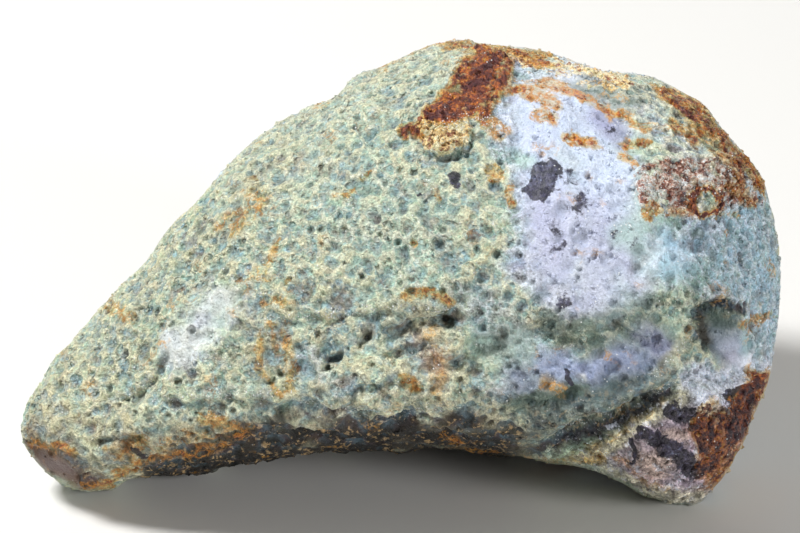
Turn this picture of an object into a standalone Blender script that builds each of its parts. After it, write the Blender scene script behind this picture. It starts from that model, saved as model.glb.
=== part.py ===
"""A natural agate nodule, 65 mm long: a teardrop with a narrow tail on the left and a bulging right end.

Its skin is pitted, a deep hollow sits near the right end, the lower right corner is broken off and the
tip of the tail is chipped. It leans back on a small flat on its belly.
"""

from math import cos, pi, radians, sin

import bpy
import numpy as np

# Sizes and places are in millimetres on the stone's show face: U runs to the right, V up the face and W
# out of it. The face leans back from upright by LEAN.
MM = 0.001
LENGTH = 65.0
LEFT_TIP = -32.5
LEAN = radians(28)
FLOOR_LEVEL = -18.15

# The outline of the show face, from the tip of the tail to the right end.
TOP_EDGE = (
    (-32.5, -13.3), (-32.3, -12.3), (-31.8, -11.2), (-30.9, -9.8), (-29.4, -7.3), (-28.1, -6.1),
    (-26.1, -3.7), (-23.4, -0.8), (-21.8, 0.7), (-19.8, 3.6), (-17.8, 5.5), (-13.7, 10.1), (-11.3, 12.1),
    (-8.0, 14.0), (-5.5, 14.9), (-4.1, 16.5), (-1.6, 17.5), (2.0, 19.1), (4.7, 19.8), (7.6, 19.4),
    (11.9, 18.9), (17.6, 17.1), (20.8, 16.8), (24.2, 15.3), (26.1, 14.1), (27.5, 12.2), (30.2, 9.0),
    (31.1, 7.5), (31.7, 5.2), (32.4, 1.6), (32.5, -0.8),
)
BOTTOM_EDGE = (
    (-32.5, -13.3), (-31.9, -15.4), (-30.2, -17.4), (-28.6, -18.6), (-25.5, -18.9), (-24.7, -18.8),
    (-23.1, -17.7), (-20.2, -17.5), (-16.6, -17.2), (-13.7, -16.3), (-11.9, -16.5), (-8.6, -15.4),
    (-4.7, -15.5), (-1.0, -15.3), (1.0, -15.5), (2.7, -15.0), (5.4, -15.3), (9.0, -15.9), (10.5, -15.6),
    (11.5, -16.2), (16.6, -17.0), (19.1, -18.3), (21.0, -19.4), (22.5, -19.8), (25.9, -19.6),
    (27.3, -18.0), (29.1, -15.0), (30.3, -12.1), (31.6, -9.0), (32.2, -4.7), (32.4, -2.6), (32.5, -0.8),
)
# The wobbles of the outline fade out this far round from the edge, and are those shorter than the second.
EDGE_REACH = 3.0
EDGE_WOBBLE = 0.035
# The smoothing lets go of the tips over this many wobbles, and the wobbles fade out below this share of the
# half height.
TIP_HOLD = 2.5
EDGE_BAND = 0.8
# How far the stone reaches forward and back, and how deep its top and bottom edges lie: U, V and W of the
# front, V and W of the back, W of the top edge, W of the bottom edge, roundness of the lower back.
DEPTHS = (
    (-32.5, -13.3, 0.0, -13.3, 0.0, 0.0, 0.0, 2.1),
    (-29.1, -14.5, 5.0, -12.8, -5.0, -0.5, -1.5, 2.1),
    (-24.9, -13.7, 7.5, -10.7, -7.5, -1.0, -2.3, 2.1),
    (-18.9, -11.1, 10.0, -6.8, -11.0, -2.0, -3.0, 2.15),
    (-12.0, -9.0, 12.5, -3.4, -15.0, -3.0, -4.0, 2.2),
    (-4.3, -8.1, 14.5, -0.8, -18.5, -4.0, -4.5, 2.15),
    (4.2, -6.4, 16.0, 0.7, -20.5, -5.0, -5.0, 2.3),
    (12.8, -5.1, 16.5, 0.7, -21.0, -5.0, -4.0, 1.95),
    (21.4, -3.8, 15.5, 0.9, -19.0, -4.0, -1.5, 1.5),
    (27.3, -3.4, 12.0, 0.2, -14.0, -2.5, -0.5, 1.5),
    (31.2, -1.7, 5.5, -0.8, -6.5, -0.5, 0.0, 1.9),
    (32.5, -0.8, 0.0, -0.8, 0.0, 0.0, 0.0, 2.0),
)
# Roundness of a ring's other three quarters: 2 is round, more is boxier.
UPPER_FRONT, LOWER_FRONT, UPPER_BACK = 2.1, 2.6, 2.1
QUARTER_STEPS = 90

# Soft swells and dips of the front: U, V, half width, half height, rise.
SWELLS = (
    (-3.0, 4.0, 9.0, 6.0, 0.5),
    (11.0, 9.0, 8.0, 6.0, 0.5),
    (-6.0, -10.6, 10.0, 1.5, 0.7),
    (11.0, -8.0, 8.0, 3.2, -0.9),
    (24.0, 7.0, 5.0, 3.0, 0.5),
    (-17.0, -4.0, 4.0, 5.0, 0.3),
    (4.2, 0.7, 1.6, 1.4, -0.3),
    (6.0, 15.6, 1.3, 1.6, -0.35),
    (25.8, 5.8, 1.2, 1.1, 0.6),
    (25.0, 7.6, 4.2, 1.8, 0.3),
    (25.0, -10.9, 1.4, 1.0, 0.55),
    (20.6, -16.0, 1.7, 1.5, 0.6),
    (22.8, -14.2, 1.5, 1.0, -0.5),
    (27.8, -12.6, 1.6, 2.2, 0.3),
)
# Ledges: the ground drops away just below the line by the first number and comes back over the second.
LEDGE_STEP = (-0.12, 0.4)
LEDGE_HOLLOWNESS = 1.1
LINE_FADE = 0.18
LEDGES = (
    (((-11.6, -4.3), (-6.0, -3.6), (0.0, -3.2), (5.9, -3.2)), 0.35, 1.6),
    (((-2.0, -5.6), (0.2, -3.8), (3.5, -3.5), (5.3, -4.2)), 1.1, 3.0),
    (((-4.3, -6.7), (-3.6, -5.6), (-2.4, -5.1)), 0.6, 1.5),
    (((-1.9, -7.4), (-0.8, -6.8), (1.1, -6.2), (2.4, -5.4)), 0.6, 2.0),
    (((-7.1, -8.7), (-6.3, -7.4), (-4.9, -6.8)), 0.7, 2.0),
    (((-5.0, -10.6), (-3.6, -9.9), (-1.7, -9.4)), 0.5, 1.7),
    (((-11.7, -9.7), (-11.0, -8.7), (-10.3, -8.5)), 0.5, 1.4),
    (((-10.9, -11.9), (-10.1, -11.4), (-9.2, -11.2)), 0.5, 1.1),
    (((0.0, -11.6), (1.8, -10.9)), 0.5, 1.1),
    (((3.0, -8.6), (4.6, -7.0), (5.3, -6.1), (6.4, -5.5), (8.2, -5.6), (9.2, -5.2)), 0.8, 4.0),
    (((-21.4, -11.0), (-16.3, -10.9), (-9.5, -10.9), (-6.9, -11.6), (0.0, -12.4), (3.4, -11.8)), 0.4, 2.0),
    (((-24.9, -11.7), (-21.4, -9.1), (-19.6, -6.5)), 0.4, 1.6),
    (((-26.9, -14.4), (-24.0, -14.0), (-21.4, -13.8)), 0.4, 1.5),
    (((9.4, -11.5), (12.5, -10.9), (15.7, -10.0)), 0.6, 1.5),
    (
        ((-18.4, -16.0), (-12.9, -14.3), (-8.6, -13.4), (-4.3, -14.2), (0.0, -14.1), (3.4, -13.5),
         (6.8, -14.1)), 1.3, 2.6,
    ),
    (((1.8, 10.0), (3.4, 9.5), (4.6, 9.8), (5.8, 10.4)), 0.6, 1.2),
    (((17.1, -3.6), (19.5, -5.2), (22.5, -5.4)), 0.5, 1.6),
)
# Lines and outlines of the front are ragged: how far, with what size of waves, and two seeds.
LINE_RAGGED = (0.35, 1.5, (22, 23))
# Ridges: raised lines, with their rise and half width.
RIDGES = (
    (((14.8, -12.4), (18.7, -11.4), (21.1, -10.0), (22.6, -8.9), (24.4, -7.9)), 0.55, 0.6),
    (((24.8, -9.5), (26.7, -10.2), (28.4, -9.7), (31.5, -8.3)), 0.5, 0.5),
    (((1.4, 12.9), (4.7, 12.6), (5.9, 11.6)), 0.3, 1.1),
)
# The face of the broken corner, the chip on the tail and the deep hollow, each as an outline.
BROKEN_FACE = (
    (12.5, -15.6), (14.9, -13.8), (17.6, -12.8), (20.5, -11.3), (23.2, -9.9), (24.8, -9.2), (26.7, -10.2),
    (28.4, -9.7), (31.5, -8.3), (34.2, -7.6), (34.2, -21.4), (20.5, -21.4), (13.7, -17.3),
)
BREAK_DEPTH, BREAK_STEP, BREAK_FADE = 1.1, 0.5, (2.0, 9.0)
GROOVE_DEPTH, GROOVE_HALF_WIDTH = 1.8, 0.75
BREAK_GROOVE = ((11.5, -15.4), (14.0, -14.2), (17.4, -13.2), (20.3, -11.7), (22.8, -10.2))
CHIP_DEPTH, CHIP_STEP = 0.7, 0.6
CHIP_FACE = (
    (-33.0, -14.4), (-31.0, -14.7), (-29.8, -15.1), (-28.7, -15.9), (-27.8, -16.8), (-27.2, -17.6),
    (-27.4, -19.4), (-33.0, -19.4),
)
HOLLOW_EDGE = (
    (24.7, -3.4), (25.5, -2.7), (26.7, -2.3), (28.1, -2.3), (28.7, -3.3), (28.8, -4.6), (29.4, -5.8),
    (29.9, -6.9), (29.3, -8.2), (27.6, -8.6), (26.1, -7.2), (25.2, -5.7), (24.9, -4.6),
)
HOLLOW_DEPTH, HOLLOW_STEP = 3.4, (-0.15, 0.8)
# The hollow is deepest at its upper left rim and climbs by a share of its depth to the lower right, where
# its wall is wider and gentler by the last number.
HOLLOW_RIM = (26.0, -3.6)
HOLLOW_CLIMB = (0.55, -0.83)
HOLLOW_LENGTH, HOLLOW_RISE, HOLLOW_EASE = 5.4, 0.75, 1.9
# Its rim is ragged: how far, with what size of waves, and their seed.
HOLLOW_RAGGED = (0.25, 0.9, 21)
# How squarely the surface faces forward where the front's forms, the hollow and the lumps set in.
FRONT_FACING, HOLLOW_FACING, LUMP_FACING = (0.02, 0.4), (0.02, 0.2), (0.05, 0.45)
# Pits of the front: U, V, width, depth.
PITS = (
    (-6.6, 8.5, 0.9, 0.35), (-5.8, 8.5, 0.8, 0.25), (-4.8, 8.1, 1.4, 0.3), (-1.9, 4.1, 1.2, 0.6),
    (0.3, 4.9, 1.2, 0.55), (0.4, 6.5, 1.0, 0.35), (-0.1, 8.3, 0.9, 0.35), (1.2, 8.1, 1.1, 0.45),
    (2.5, 8.8, 1.2, 0.3), (2.4, 4.1, 0.9, 0.35), (3.9, 4.0, 0.8, 0.3), (5.3, 6.2, 0.9, 0.35),
    (3.3, 5.8, 0.8, 0.3), (4.8, 7.7, 1.1, 0.35), (3.3, 2.1, 1.3, 0.7), (4.2, 0.7, 2.6, 0.45),
    (1.1, 2.3, 0.8, 0.25), (-11.3, 3.9, 1.0, 0.4), (-10.4, 4.0, 0.7, 0.25), (-9.2, 3.6, 0.9, 0.35),
    (-11.6, 7.0, 0.9, 0.35), (-8.0, 9.7, 0.9, 0.25), (-4.2, 9.7, 1.0, 0.35), (-1.7, 9.6, 0.7, 0.25),
    (-3.0, 12.2, 0.8, 0.25), (-1.8, 12.5, 0.9, 0.3), (0.5, 16.9, 0.8, 0.25), (2.7, 17.1, 1.1, 0.25),
    (0.0, 14.7, 1.4, 0.4), (-5.4, 3.0, 1.0, 0.4), (-3.4, 3.0, 0.8, 0.25), (-5.1, 1.6, 0.8, 0.25),
    (-3.6, 0.6, 1.4, 0.3), (-9.8, -0.8, 0.9, 0.35), (-9.0, -1.7, 1.0, 0.45), (-7.3, -0.6, 0.8, 0.3),
    (-1.8, -1.5, 0.8, 0.3), (7.9, 7.0, 1.3, 0.6), (6.8, 7.6, 1.6, 0.25), (1.1, 11.6, 1.0, 0.5),
    (6.0, 5.5, 1.1, 0.25), (6.2, 2.8, 1.6, 0.55), (6.4, 1.6, 0.9, 0.35), (8.1, 1.3, 1.0, 0.5),
    (6.9, -0.6, 1.5, 0.65), (9.9, -0.6, 0.8, 0.35), (6.8, -4.9, 1.1, 0.6), (7.8, -4.0, 0.8, 0.35),
    (8.6, -5.4, 1.0, 0.4), (8.9, -2.6, 0.9, 0.3), (19.6, 0.1, 0.9, 0.35), (26.5, -0.5, 1.5, 0.35),
    (30.6, -1.3, 1.0, 0.4), (25.3, -7.4, 0.9, 0.35), (28.0, 3.7, 1.8, 0.55), (-21.5, -2.0, 1.0, 0.5),
    (-23.7, -7.0, 1.2, 0.65), (-23.7, -8.2, 1.3, 0.4), (-21.9, -6.6, 1.0, 0.5), (-25.0, -10.0, 1.0, 0.45),
    (-24.1, -4.3, 0.8, 0.25), (-4.2, -4.9, 0.8, 0.35), (-4.1, -5.6, 0.9, 0.35), (-5.9, -12.5, 1.9, 1.1),
    (-4.8, -13.2, 1.2, 0.6), (-3.4, -12.6, 1.1, 0.5), (15.1, -6.8, 1.3, 0.35), (12.7, 12.6, 0.8, 0.3),
    (14.5, 11.2, 1.1, 0.35), (-21.2, -12.4, 1.3, 0.4), (16.4, 7.4, 0.9, 0.3), (23.0, 1.1, 0.9, 0.3),
    (27.0, -3.3, 2.4, 1.3), (29.5, -2.9, 1.3, 0.6), (30.2, -4.7, 1.4, 0.6), (30.9, -1.3, 1.1, 0.45),
    (28.9, -4.9, 1.0, 0.45), (30.0, -6.4, 1.2, 0.4), (26.4, -5.2, 1.6, 0.5),
)
FRONT_PIT_FACING = 0.05
# Pits of the sides, back and underside, and those between the pits above.
STRAY_PITS = 210
STRAY_WIDTH = (0.9, 1.7)
STRAY_SHARE = (0.22, 0.4)
STRAY_SEED = 11
# The front has few of them beside its own pits.
FRONT_SHARE = 0.3
CLEAR_OF_BREAK = 0.8
# A pit's wall, and its rim: place and half width in radii, and rise as a share of its depth.
PIT_STEEPNESS = 2.4
PIT_REACH = 1.3
RIM_PLACE, RIM_HALF_WIDTH, RIM_RISE = 1.08, 0.14, 0.12
# The worn surface: lump size, rise and seed.
LUMPS = ((9.0, 0.45, 1), (4.5, 0.3, 2), (2.2, 0.16, 3))
# The noise repeats after this many lumps.
NOISE_PERIOD = 48

# The rings and their points, and the number of triangles they are thinned to.
ROWS = 330
COLUMNS = 300
TRIANGLES = 9400
# The slab that cuts the worn flat: how far it reaches down and to the sides.
CUTTER_DEPTH = 10.0
CUTTER_SIDE = 2 * LENGTH


def smoothstep(low, high, value):
    t = np.clip((value - low) / (high - low), 0, 1)
    return t * t * (3 - 2 * t)


def curve(at, knots, values):
    """Read a smooth curve through the values at the knots."""
    slopes = np.gradient(values, knots)
    i = np.clip(np.searchsorted(knots, at) - 1, 0, len(knots) - 2)
    width = knots[i + 1] - knots[i]
    t = (at - knots[i]) / width
    start = (1 + 2 * t) * (1 - t) ** 2 * values[i] + t * (1 - t) ** 2 * width * slopes[i]
    end = t * t * (3 - 2 * t) * values[i + 1] - t * t * (1 - t) * width * slopes[i + 1]
    return start + end


def turn(u):
    """How far along the stone a place is, counted so that both ends come out round."""
    return np.arccos(np.clip(1 - 2 * (np.asarray(u) - LEFT_TIP) / LENGTH, -1, 1)) / pi


def softened(values, at, width):
    """The values with wobbles shorter than the width smoothed away, and both ends kept."""
    weight = np.exp(-(((at[:, None] - at[None, :]) / width) ** 2))
    soft = weight @ values / weight.sum(axis=1)
    kept = smoothstep(0, TIP_HOLD * width, at) * smoothstep(0, TIP_HOLD * width, 1 - at)
    return values + (soft - values) * kept


def ring(corners, roundness, columns):
    """One closed ring through its top, front, bottom and back corners, as evenly spaced (V, W) points."""
    angle = np.linspace(0, pi / 2, QUARTER_STEPS)[:, None]
    pieces = []
    for side, (start, end) in enumerate(zip(corners, corners[1:] + corners[:1])):
        fall = np.cos(angle) ** (2 / roundness[side])
        left = 1 - np.sin(angle) ** (2 / roundness[side])
        share = np.hstack([fall, left] if side % 2 == 0 else [left, fall])
        pieces.append((np.array(end) + (np.array(start) - np.array(end)) * share)[:-1])
    loop = np.concatenate(pieces + [pieces[0][:1]])
    steps = np.hypot(*np.diff(loop, axis=0).T) + 1e-9
    walked = np.concatenate([[0], np.cumsum(steps)])
    wanted = np.linspace(0, walked[-1], columns + 1)[:-1]
    return np.stack([np.interp(wanted, walked, loop[:, 0]), np.interp(wanted, walked, loop[:, 1])], axis=1)


def plain_form(rows, columns):
    """The stone without its relief: rings of points from the left tip to the right end."""
    at = np.linspace(0, 1, rows)
    edge_top, edge_bottom, depths = np.array(TOP_EDGE), np.array(BOTTOM_EDGE), np.array(DEPTHS)
    top = curve(at, turn(edge_top[:, 0]), edge_top[:, 1])
    bottom = curve(at, turn(edge_bottom[:, 0]), edge_bottom[:, 1])
    soft_top, soft_bottom = softened(top, at, EDGE_WOBBLE), softened(bottom, at, EDGE_WOBBLE)
    front_v, front_w, back_v, back_w, top_w, bottom_w, lower_back = (
        curve(at, turn(depths[:, 0]), depths[:, column]) for column in range(1, 8)
    )
    front_v = np.clip(front_v, soft_bottom, soft_top)
    back_v = np.clip(back_v, soft_bottom, soft_top)
    grid = np.empty((rows, columns, 3))
    grid[:, :, 0] = (LEFT_TIP + LENGTH * (1 - np.cos(pi * at)) / 2)[:, None]
    for row in range(rows):
        corners = [
            (soft_top[row], top_w[row]),
            (front_v[row], front_w[row]),
            (soft_bottom[row], bottom_w[row]),
            (back_v[row], back_w[row]),
        ]
        roundness = (UPPER_FRONT, LOWER_FRONT, lower_back[row], UPPER_BACK)
        grid[row, :, 1:] = ring(corners, roundness, columns)
    middle = ((soft_top + soft_bottom) / 2)[:, None]
    half = ((soft_top - soft_bottom) / 2 + 1e-6)[:, None]
    height = (grid[:, :, 1] - middle) / half
    for edge, soft, edge_w, side in ((top, soft_top, top_w, 1), (bottom, soft_bottom, bottom_w, -1)):
        off_edge = (grid[:, :, 2] - edge_w[:, None]) / EDGE_REACH
        near = np.exp(-(off_edge**2)) * smoothstep(0, EDGE_BAND, side * height)
        grid[:, :, 1] += (edge - soft)[:, None] * near
    return grid


def normals_of(grid):
    along = np.gradient(grid, axis=0)
    around = np.roll(grid, -1, axis=1) - np.roll(grid, 1, axis=1)
    normal = np.cross(around, along)
    length = np.linalg.norm(normal, axis=2, keepdims=True)
    normal = normal / np.maximum(length, 1e-12)
    normal[0] = (-1, 0, 0)
    normal[-1] = (1, 0, 0)
    return normal


def noise(points, size, seed):
    """Smooth noise from -1 to 1 with lumps of the given size."""
    lattice = np.random.default_rng(seed).uniform(-1, 1, (NOISE_PERIOD,) * 3)
    cell = points / size
    base = np.floor(cell).astype(int)
    part = cell - base
    part = part * part * part * (part * (part * 6 - 15) + 10)
    total = np.zeros(points.shape[:-1])
    for corner in np.ndindex(2, 2, 2):
        weight = np.prod(np.where(corner, part, 1 - part), axis=-1)
        index = (base + corner) % NOISE_PERIOD
        total += weight * lattice[index[..., 0], index[..., 1], index[..., 2]]
    return total


def line_distance(u, v, line):
    """Distance from a line of points, which side of it a place is on (below is 1), and how far along."""
    line = np.array(line, float)
    legs = np.diff(line, axis=0)
    lengths = np.hypot(legs[:, 0], legs[:, 1])
    starts = np.concatenate([[0], np.cumsum(lengths)])
    nearest = np.full(u.shape, np.inf)
    side = np.ones(u.shape)
    along = np.zeros(u.shape)
    for start, leg, length, walked in zip(line, legs, lengths, starts):
        t = np.clip(((u - start[0]) * leg[0] + (v - start[1]) * leg[1]) / length**2, 0, 1)
        du, dv = u - start[0] - t * leg[0], v - start[1] - t * leg[1]
        distance = np.hypot(du, dv)
        closer = distance < nearest
        nearest = np.where(closer, distance, nearest)
        side = np.where(closer, np.sign(leg[1] * du - leg[0] * dv), side)
        along = np.where(closer, (walked + t * length) / starts[-1], along)
    return nearest, side, along


def depth_inside(u, v, outline):
    """Distance in from the edge of an outline, negative outside it."""
    closed = tuple(outline) + (outline[0],)
    nearest = line_distance(u, v, closed)[0]
    inside = np.zeros(u.shape, bool)
    for (u0, v0), (u1, v1) in zip(closed, closed[1:]):
        crosses = (v0 > v) != (v1 > v)
        rise = v1 - v0 if v1 != v0 else 1e-9
        inside ^= crosses & (u < u0 + (v - v0) * (u1 - u0) / rise)
    return np.where(inside, nearest, -nearest)


def ends_fade(along):
    """One along the middle of a line, and down to nothing at both its ends."""
    return smoothstep(0, LINE_FADE, along) * smoothstep(0, LINE_FADE, 1 - along)


def hollow_depth(grid):
    """How far the deep hollow goes in."""
    u, v = grid[..., 0], grid[..., 1]
    ragged, size, seed = HOLLOW_RAGGED
    inside = depth_inside(u, v, HOLLOW_EDGE) + ragged * noise(grid, size, seed)
    climb = (u - HOLLOW_RIM[0]) * HOLLOW_CLIMB[0] + (v - HOLLOW_RIM[1]) * HOLLOW_CLIMB[1]
    climb = smoothstep(0, HOLLOW_LENGTH, climb)
    wall = smoothstep(HOLLOW_STEP[0], HOLLOW_STEP[1] + HOLLOW_EASE * climb, inside)
    return HOLLOW_DEPTH * (1 - HOLLOW_RISE * climb) * wall


def front_relief(grid, normal):
    """The big forms that the front of the stone shows, as a height over the plain form."""
    ragged, size, seeds = LINE_RAGGED
    u, v = (grid[..., axis] + ragged * noise(grid, size, seed) for axis, seed in enumerate(seeds))
    height = np.zeros(u.shape)
    for at_u, at_v, half_width, half_height, rise in SWELLS:
        height += rise * np.exp(-(((u - at_u) / half_width) ** 2) - ((v - at_v) / half_height) ** 2)
    for line, drop, reach in LEDGES:
        distance, side, along = line_distance(u, v, line)
        back_up = (1 - smoothstep(LEDGE_STEP[1], reach, distance)) ** LEDGE_HOLLOWNESS
        height -= drop * ends_fade(along) * smoothstep(*LEDGE_STEP, distance * side) * back_up
    for line, rise, half_width in RIDGES:
        distance, side, along = line_distance(u, v, line)
        height += rise * ends_fade(along) * np.exp(-((distance / half_width) ** 2))
    face = depth_inside(u, v, BROKEN_FACE)
    height -= BREAK_DEPTH * smoothstep(0, BREAK_STEP, face) * (1 - smoothstep(*BREAK_FADE, face))
    distance, side, along = line_distance(u, v, BREAK_GROOVE)
    height -= GROOVE_DEPTH * ends_fade(along) * np.exp(-((distance / GROOVE_HALF_WIDTH) ** 2))
    height -= CHIP_DEPTH * smoothstep(0, CHIP_STEP, depth_inside(u, v, CHIP_FACE))
    facing = normal[..., 2]
    hollow = hollow_depth(grid) * smoothstep(*HOLLOW_FACING, facing)
    return height * smoothstep(*FRONT_FACING, facing) - hollow


def press_pits(grid, spots, depth):
    """Press pits in, each given as (row, column, width, depth). Where they overlap the deeper counts."""
    rows, columns = depth.shape
    row_step = np.linalg.norm(grid[1:] - grid[:-1], axis=2)
    column_step = np.linalg.norm(np.roll(grid, -1, axis=1) - grid, axis=2)
    for row, column, width, deep in spots:
        radius = width / 2
        reach = PIT_REACH * radius
        row_reach = int(reach / row_step[min(row, rows - 2), column]) + 1
        column_reach = min(int(reach / column_step[row, column]) + 1, columns // 2 - 1)
        window_rows = np.arange(max(row - row_reach, 1), min(row + row_reach + 1, rows - 1))
        window_columns = np.arange(column - column_reach, column + column_reach + 1) % columns
        window = np.ix_(window_rows, window_columns)
        away = np.linalg.norm(grid[window] - grid[row, column], axis=2) / radius
        bowl = deep * np.clip(1 - away**PIT_STEEPNESS, 0, 1)
        rim = -RIM_RISE * deep * np.exp(-(((away - RIM_PLACE) / RIM_HALF_WIDTH) ** 2))
        depth[window] = np.where(away < 1, np.maximum(depth[window], bowl), depth[window] + rim)
    return depth


def front_spots(grid, normal):
    """The grid places of the pits named in PITS."""
    u, v = grid[..., 0], grid[..., 1]
    hidden = np.where(normal[..., 2] > FRONT_PIT_FACING, 0, 1e6)
    for at_u, at_v, width, deep in PITS:
        nearest = np.argmin((u - at_u) ** 2 + (v - at_v) ** 2 + hidden)
        row, column = np.unravel_index(nearest, u.shape)
        yield row, column, width, deep


def area_of(grid):
    """The area that each point of the grid stands for."""
    along = np.gradient(grid, axis=0)
    around = (np.roll(grid, -1, axis=1) - np.roll(grid, 1, axis=1)) / 2
    return np.linalg.norm(np.cross(along, around), axis=2)


def strewn_spots(share, count, widths, shares, seed):
    """Pits strewn where the share of ground is."""
    rows, columns = share.shape
    chance = np.random.default_rng(seed)
    made = 0
    while made < count:
        at, around, luck, width, deep = chance.random(5)
        row, column = int(at * (rows - 1)), int(around * columns)
        if luck < share[row, column] and 1 < row < rows - 2:
            made += 1
            width = np.interp(width, (0, 1), widths)
            yield row, column, width, width * np.interp(deep, (0, 1), shares)


def ground_share(grid, normal):
    """How much ground each point of the grid has for pits, away from the broken corner and the hollow."""
    u, v = grid[..., 0], grid[..., 1]
    share = area_of(grid)
    share = share / share.max()
    front = normal[..., 2] > 0
    for outline in (BROKEN_FACE, HOLLOW_EDGE, CHIP_FACE):
        share[front & (depth_inside(u, v, outline) > -CLEAR_OF_BREAK)] = 0
    return share


def coarse_relief(grid, normal):
    """The relief: lumps held back at the outline, big forms and large pits."""
    held = smoothstep(*LUMP_FACING, np.abs(normal[..., 2]))
    height = np.zeros(grid.shape[:2])
    for size, rise, seed in LUMPS:
        height += rise * noise(grid, size, seed)
    height = height * held + front_relief(grid, normal)
    share = ground_share(grid, normal)
    share[normal[..., 2] > 0] *= FRONT_SHARE
    strays = strewn_spots(share, STRAY_PITS, STRAY_WIDTH, STRAY_SHARE, STRAY_SEED)
    depth = press_pits(grid, strays, np.zeros(height.shape))
    depth = press_pits(grid, front_spots(grid, normal), depth)
    return height, depth


def placed(points):
    """Turn points on the show face to the stone's lean, with the worn flat at level zero."""
    u, v, w = points[..., 0], points[..., 1], points[..., 2]
    back = v * sin(LEAN) - w * cos(LEAN)
    up = v * cos(LEAN) + w * sin(LEAN) - FLOOR_LEVEL
    return np.stack([u, back, up], axis=-1)


def middle_of(points):
    """The middle of the foot of some placed points, which is the stone's origin."""
    low, high = points.reshape(-1, 3).min(axis=0), points.reshape(-1, 3).max(axis=0)
    return np.array([(low[0] + high[0]) / 2, (low[1] + high[1]) / 2, 0])


def skin_of(grid):
    """The vertices and faces of the closed skin over the rings, with one point at each tip."""
    rows, columns = grid.shape[:2]
    rings = grid[1:-1].reshape(-1, 3)
    tips = np.array([grid[0].mean(axis=0), grid[-1].mean(axis=0)])
    left_tip, right_tip = len(rings), len(rings) + 1
    here = np.arange(columns)
    beside = np.roll(here, -1)
    starts = np.arange(rows - 3)[:, None] * columns
    a, b = starts + here, starts + beside
    c, d = b + columns, a + columns
    lower = np.stack([a, b, c], axis=-1).reshape(-1, 3)
    upper = np.stack([a, c, d], axis=-1).reshape(-1, 3)
    last = (rows - 3) * columns
    left_fan = np.stack([np.full(columns, left_tip), beside, here], axis=-1)
    right_fan = np.stack([last + here, last + beside, np.full(columns, right_tip)], axis=-1)
    return np.concatenate([rings, tips]), np.concatenate([lower, upper, left_fan, right_fan])


def stand(points):
    """Stand the points on the worn flat, with the origin in the middle of their foot."""
    points = placed(points)
    return points - middle_of(points)


def stone_material():
    material = bpy.data.materials.new("pitted_green_skin")
    material.use_nodes = True
    shader = material.node_tree.nodes["Principled BSDF"]
    shader.inputs["Base Color"].default_value = (0.47, 0.5, 0.41, 1)
    shader.inputs["Roughness"].default_value = 0.6
    return material


def make_cutter():
    """A slab whose top lies at level zero: what hangs below it is the belly's worn flat."""
    side, depth = CUTTER_SIDE * MM, CUTTER_DEPTH * MM
    bpy.ops.mesh.primitive_cube_add(size=1, location=(0, 0, -depth / 2), scale=(side, side, depth))
    cutter = bpy.context.object
    cutter.name = "floor_cutter"
    cutter.hide_render = True
    cutter.display_type = "WIRE"
    return cutter


def make_nodule():
    grid = plain_form(ROWS, COLUMNS)
    normal = normals_of(grid)
    height, depth = coarse_relief(grid, normal)
    points, triangles = skin_of(grid + normal * (height - depth)[..., None])
    mesh = bpy.data.meshes.new("agate_nodule")
    mesh.from_pydata((stand(points) * MM).tolist(), [], triangles.tolist())
    mesh.materials.append(stone_material())
    mesh.shade_smooth()
    nodule = bpy.data.objects.new("agate_nodule", mesh)
    bpy.context.collection.objects.link(nodule)
    thin = nodule.modifiers.new("thin", "DECIMATE")
    thin.ratio = TRIANGLES / len(triangles)
    worn = nodule.modifiers.new("worn_flat", "BOOLEAN")
    worn.operation = "DIFFERENCE"
    worn.solver = "MANIFOLD"
    worn.object = make_cutter()


for leftover in list(bpy.data.objects):
    bpy.data.objects.remove(leftover)
make_nodule()
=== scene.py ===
"""The look of a natural agate nodule, 65 mm long, on a pale floor.

The stone is rebuilt over the same named form as its solid, with a much finer surface: a pitted green skin,
blue-white chalcedony, iron stains, crusts of small grains, a deep hollow and a broken corner.
"""

from functools import partial, reduce
from math import cos, pi, radians, sin

import bmesh
import bpy
import numpy as np
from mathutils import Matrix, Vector


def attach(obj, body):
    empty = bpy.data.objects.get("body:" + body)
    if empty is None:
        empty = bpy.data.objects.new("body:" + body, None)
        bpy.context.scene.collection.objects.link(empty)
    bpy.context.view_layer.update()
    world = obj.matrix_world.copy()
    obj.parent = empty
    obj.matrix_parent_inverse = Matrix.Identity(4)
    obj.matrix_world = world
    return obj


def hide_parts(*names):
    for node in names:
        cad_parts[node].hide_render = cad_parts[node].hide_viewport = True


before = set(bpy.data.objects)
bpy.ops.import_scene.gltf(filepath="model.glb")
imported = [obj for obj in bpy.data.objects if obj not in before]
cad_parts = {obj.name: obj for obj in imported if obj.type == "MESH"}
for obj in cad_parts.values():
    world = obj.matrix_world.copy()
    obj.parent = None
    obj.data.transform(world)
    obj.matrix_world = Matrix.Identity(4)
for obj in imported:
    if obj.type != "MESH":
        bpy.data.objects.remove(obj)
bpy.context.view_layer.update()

# Sizes and places are in millimetres on the stone's show face: U runs to the right, V up the face and W
# out of it. The face leans back from upright by LEAN.
MM = 0.001
LENGTH = 65.0
LEFT_TIP = -32.5
LEAN = radians(28)
FLOOR_LEVEL = -18.15

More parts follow.
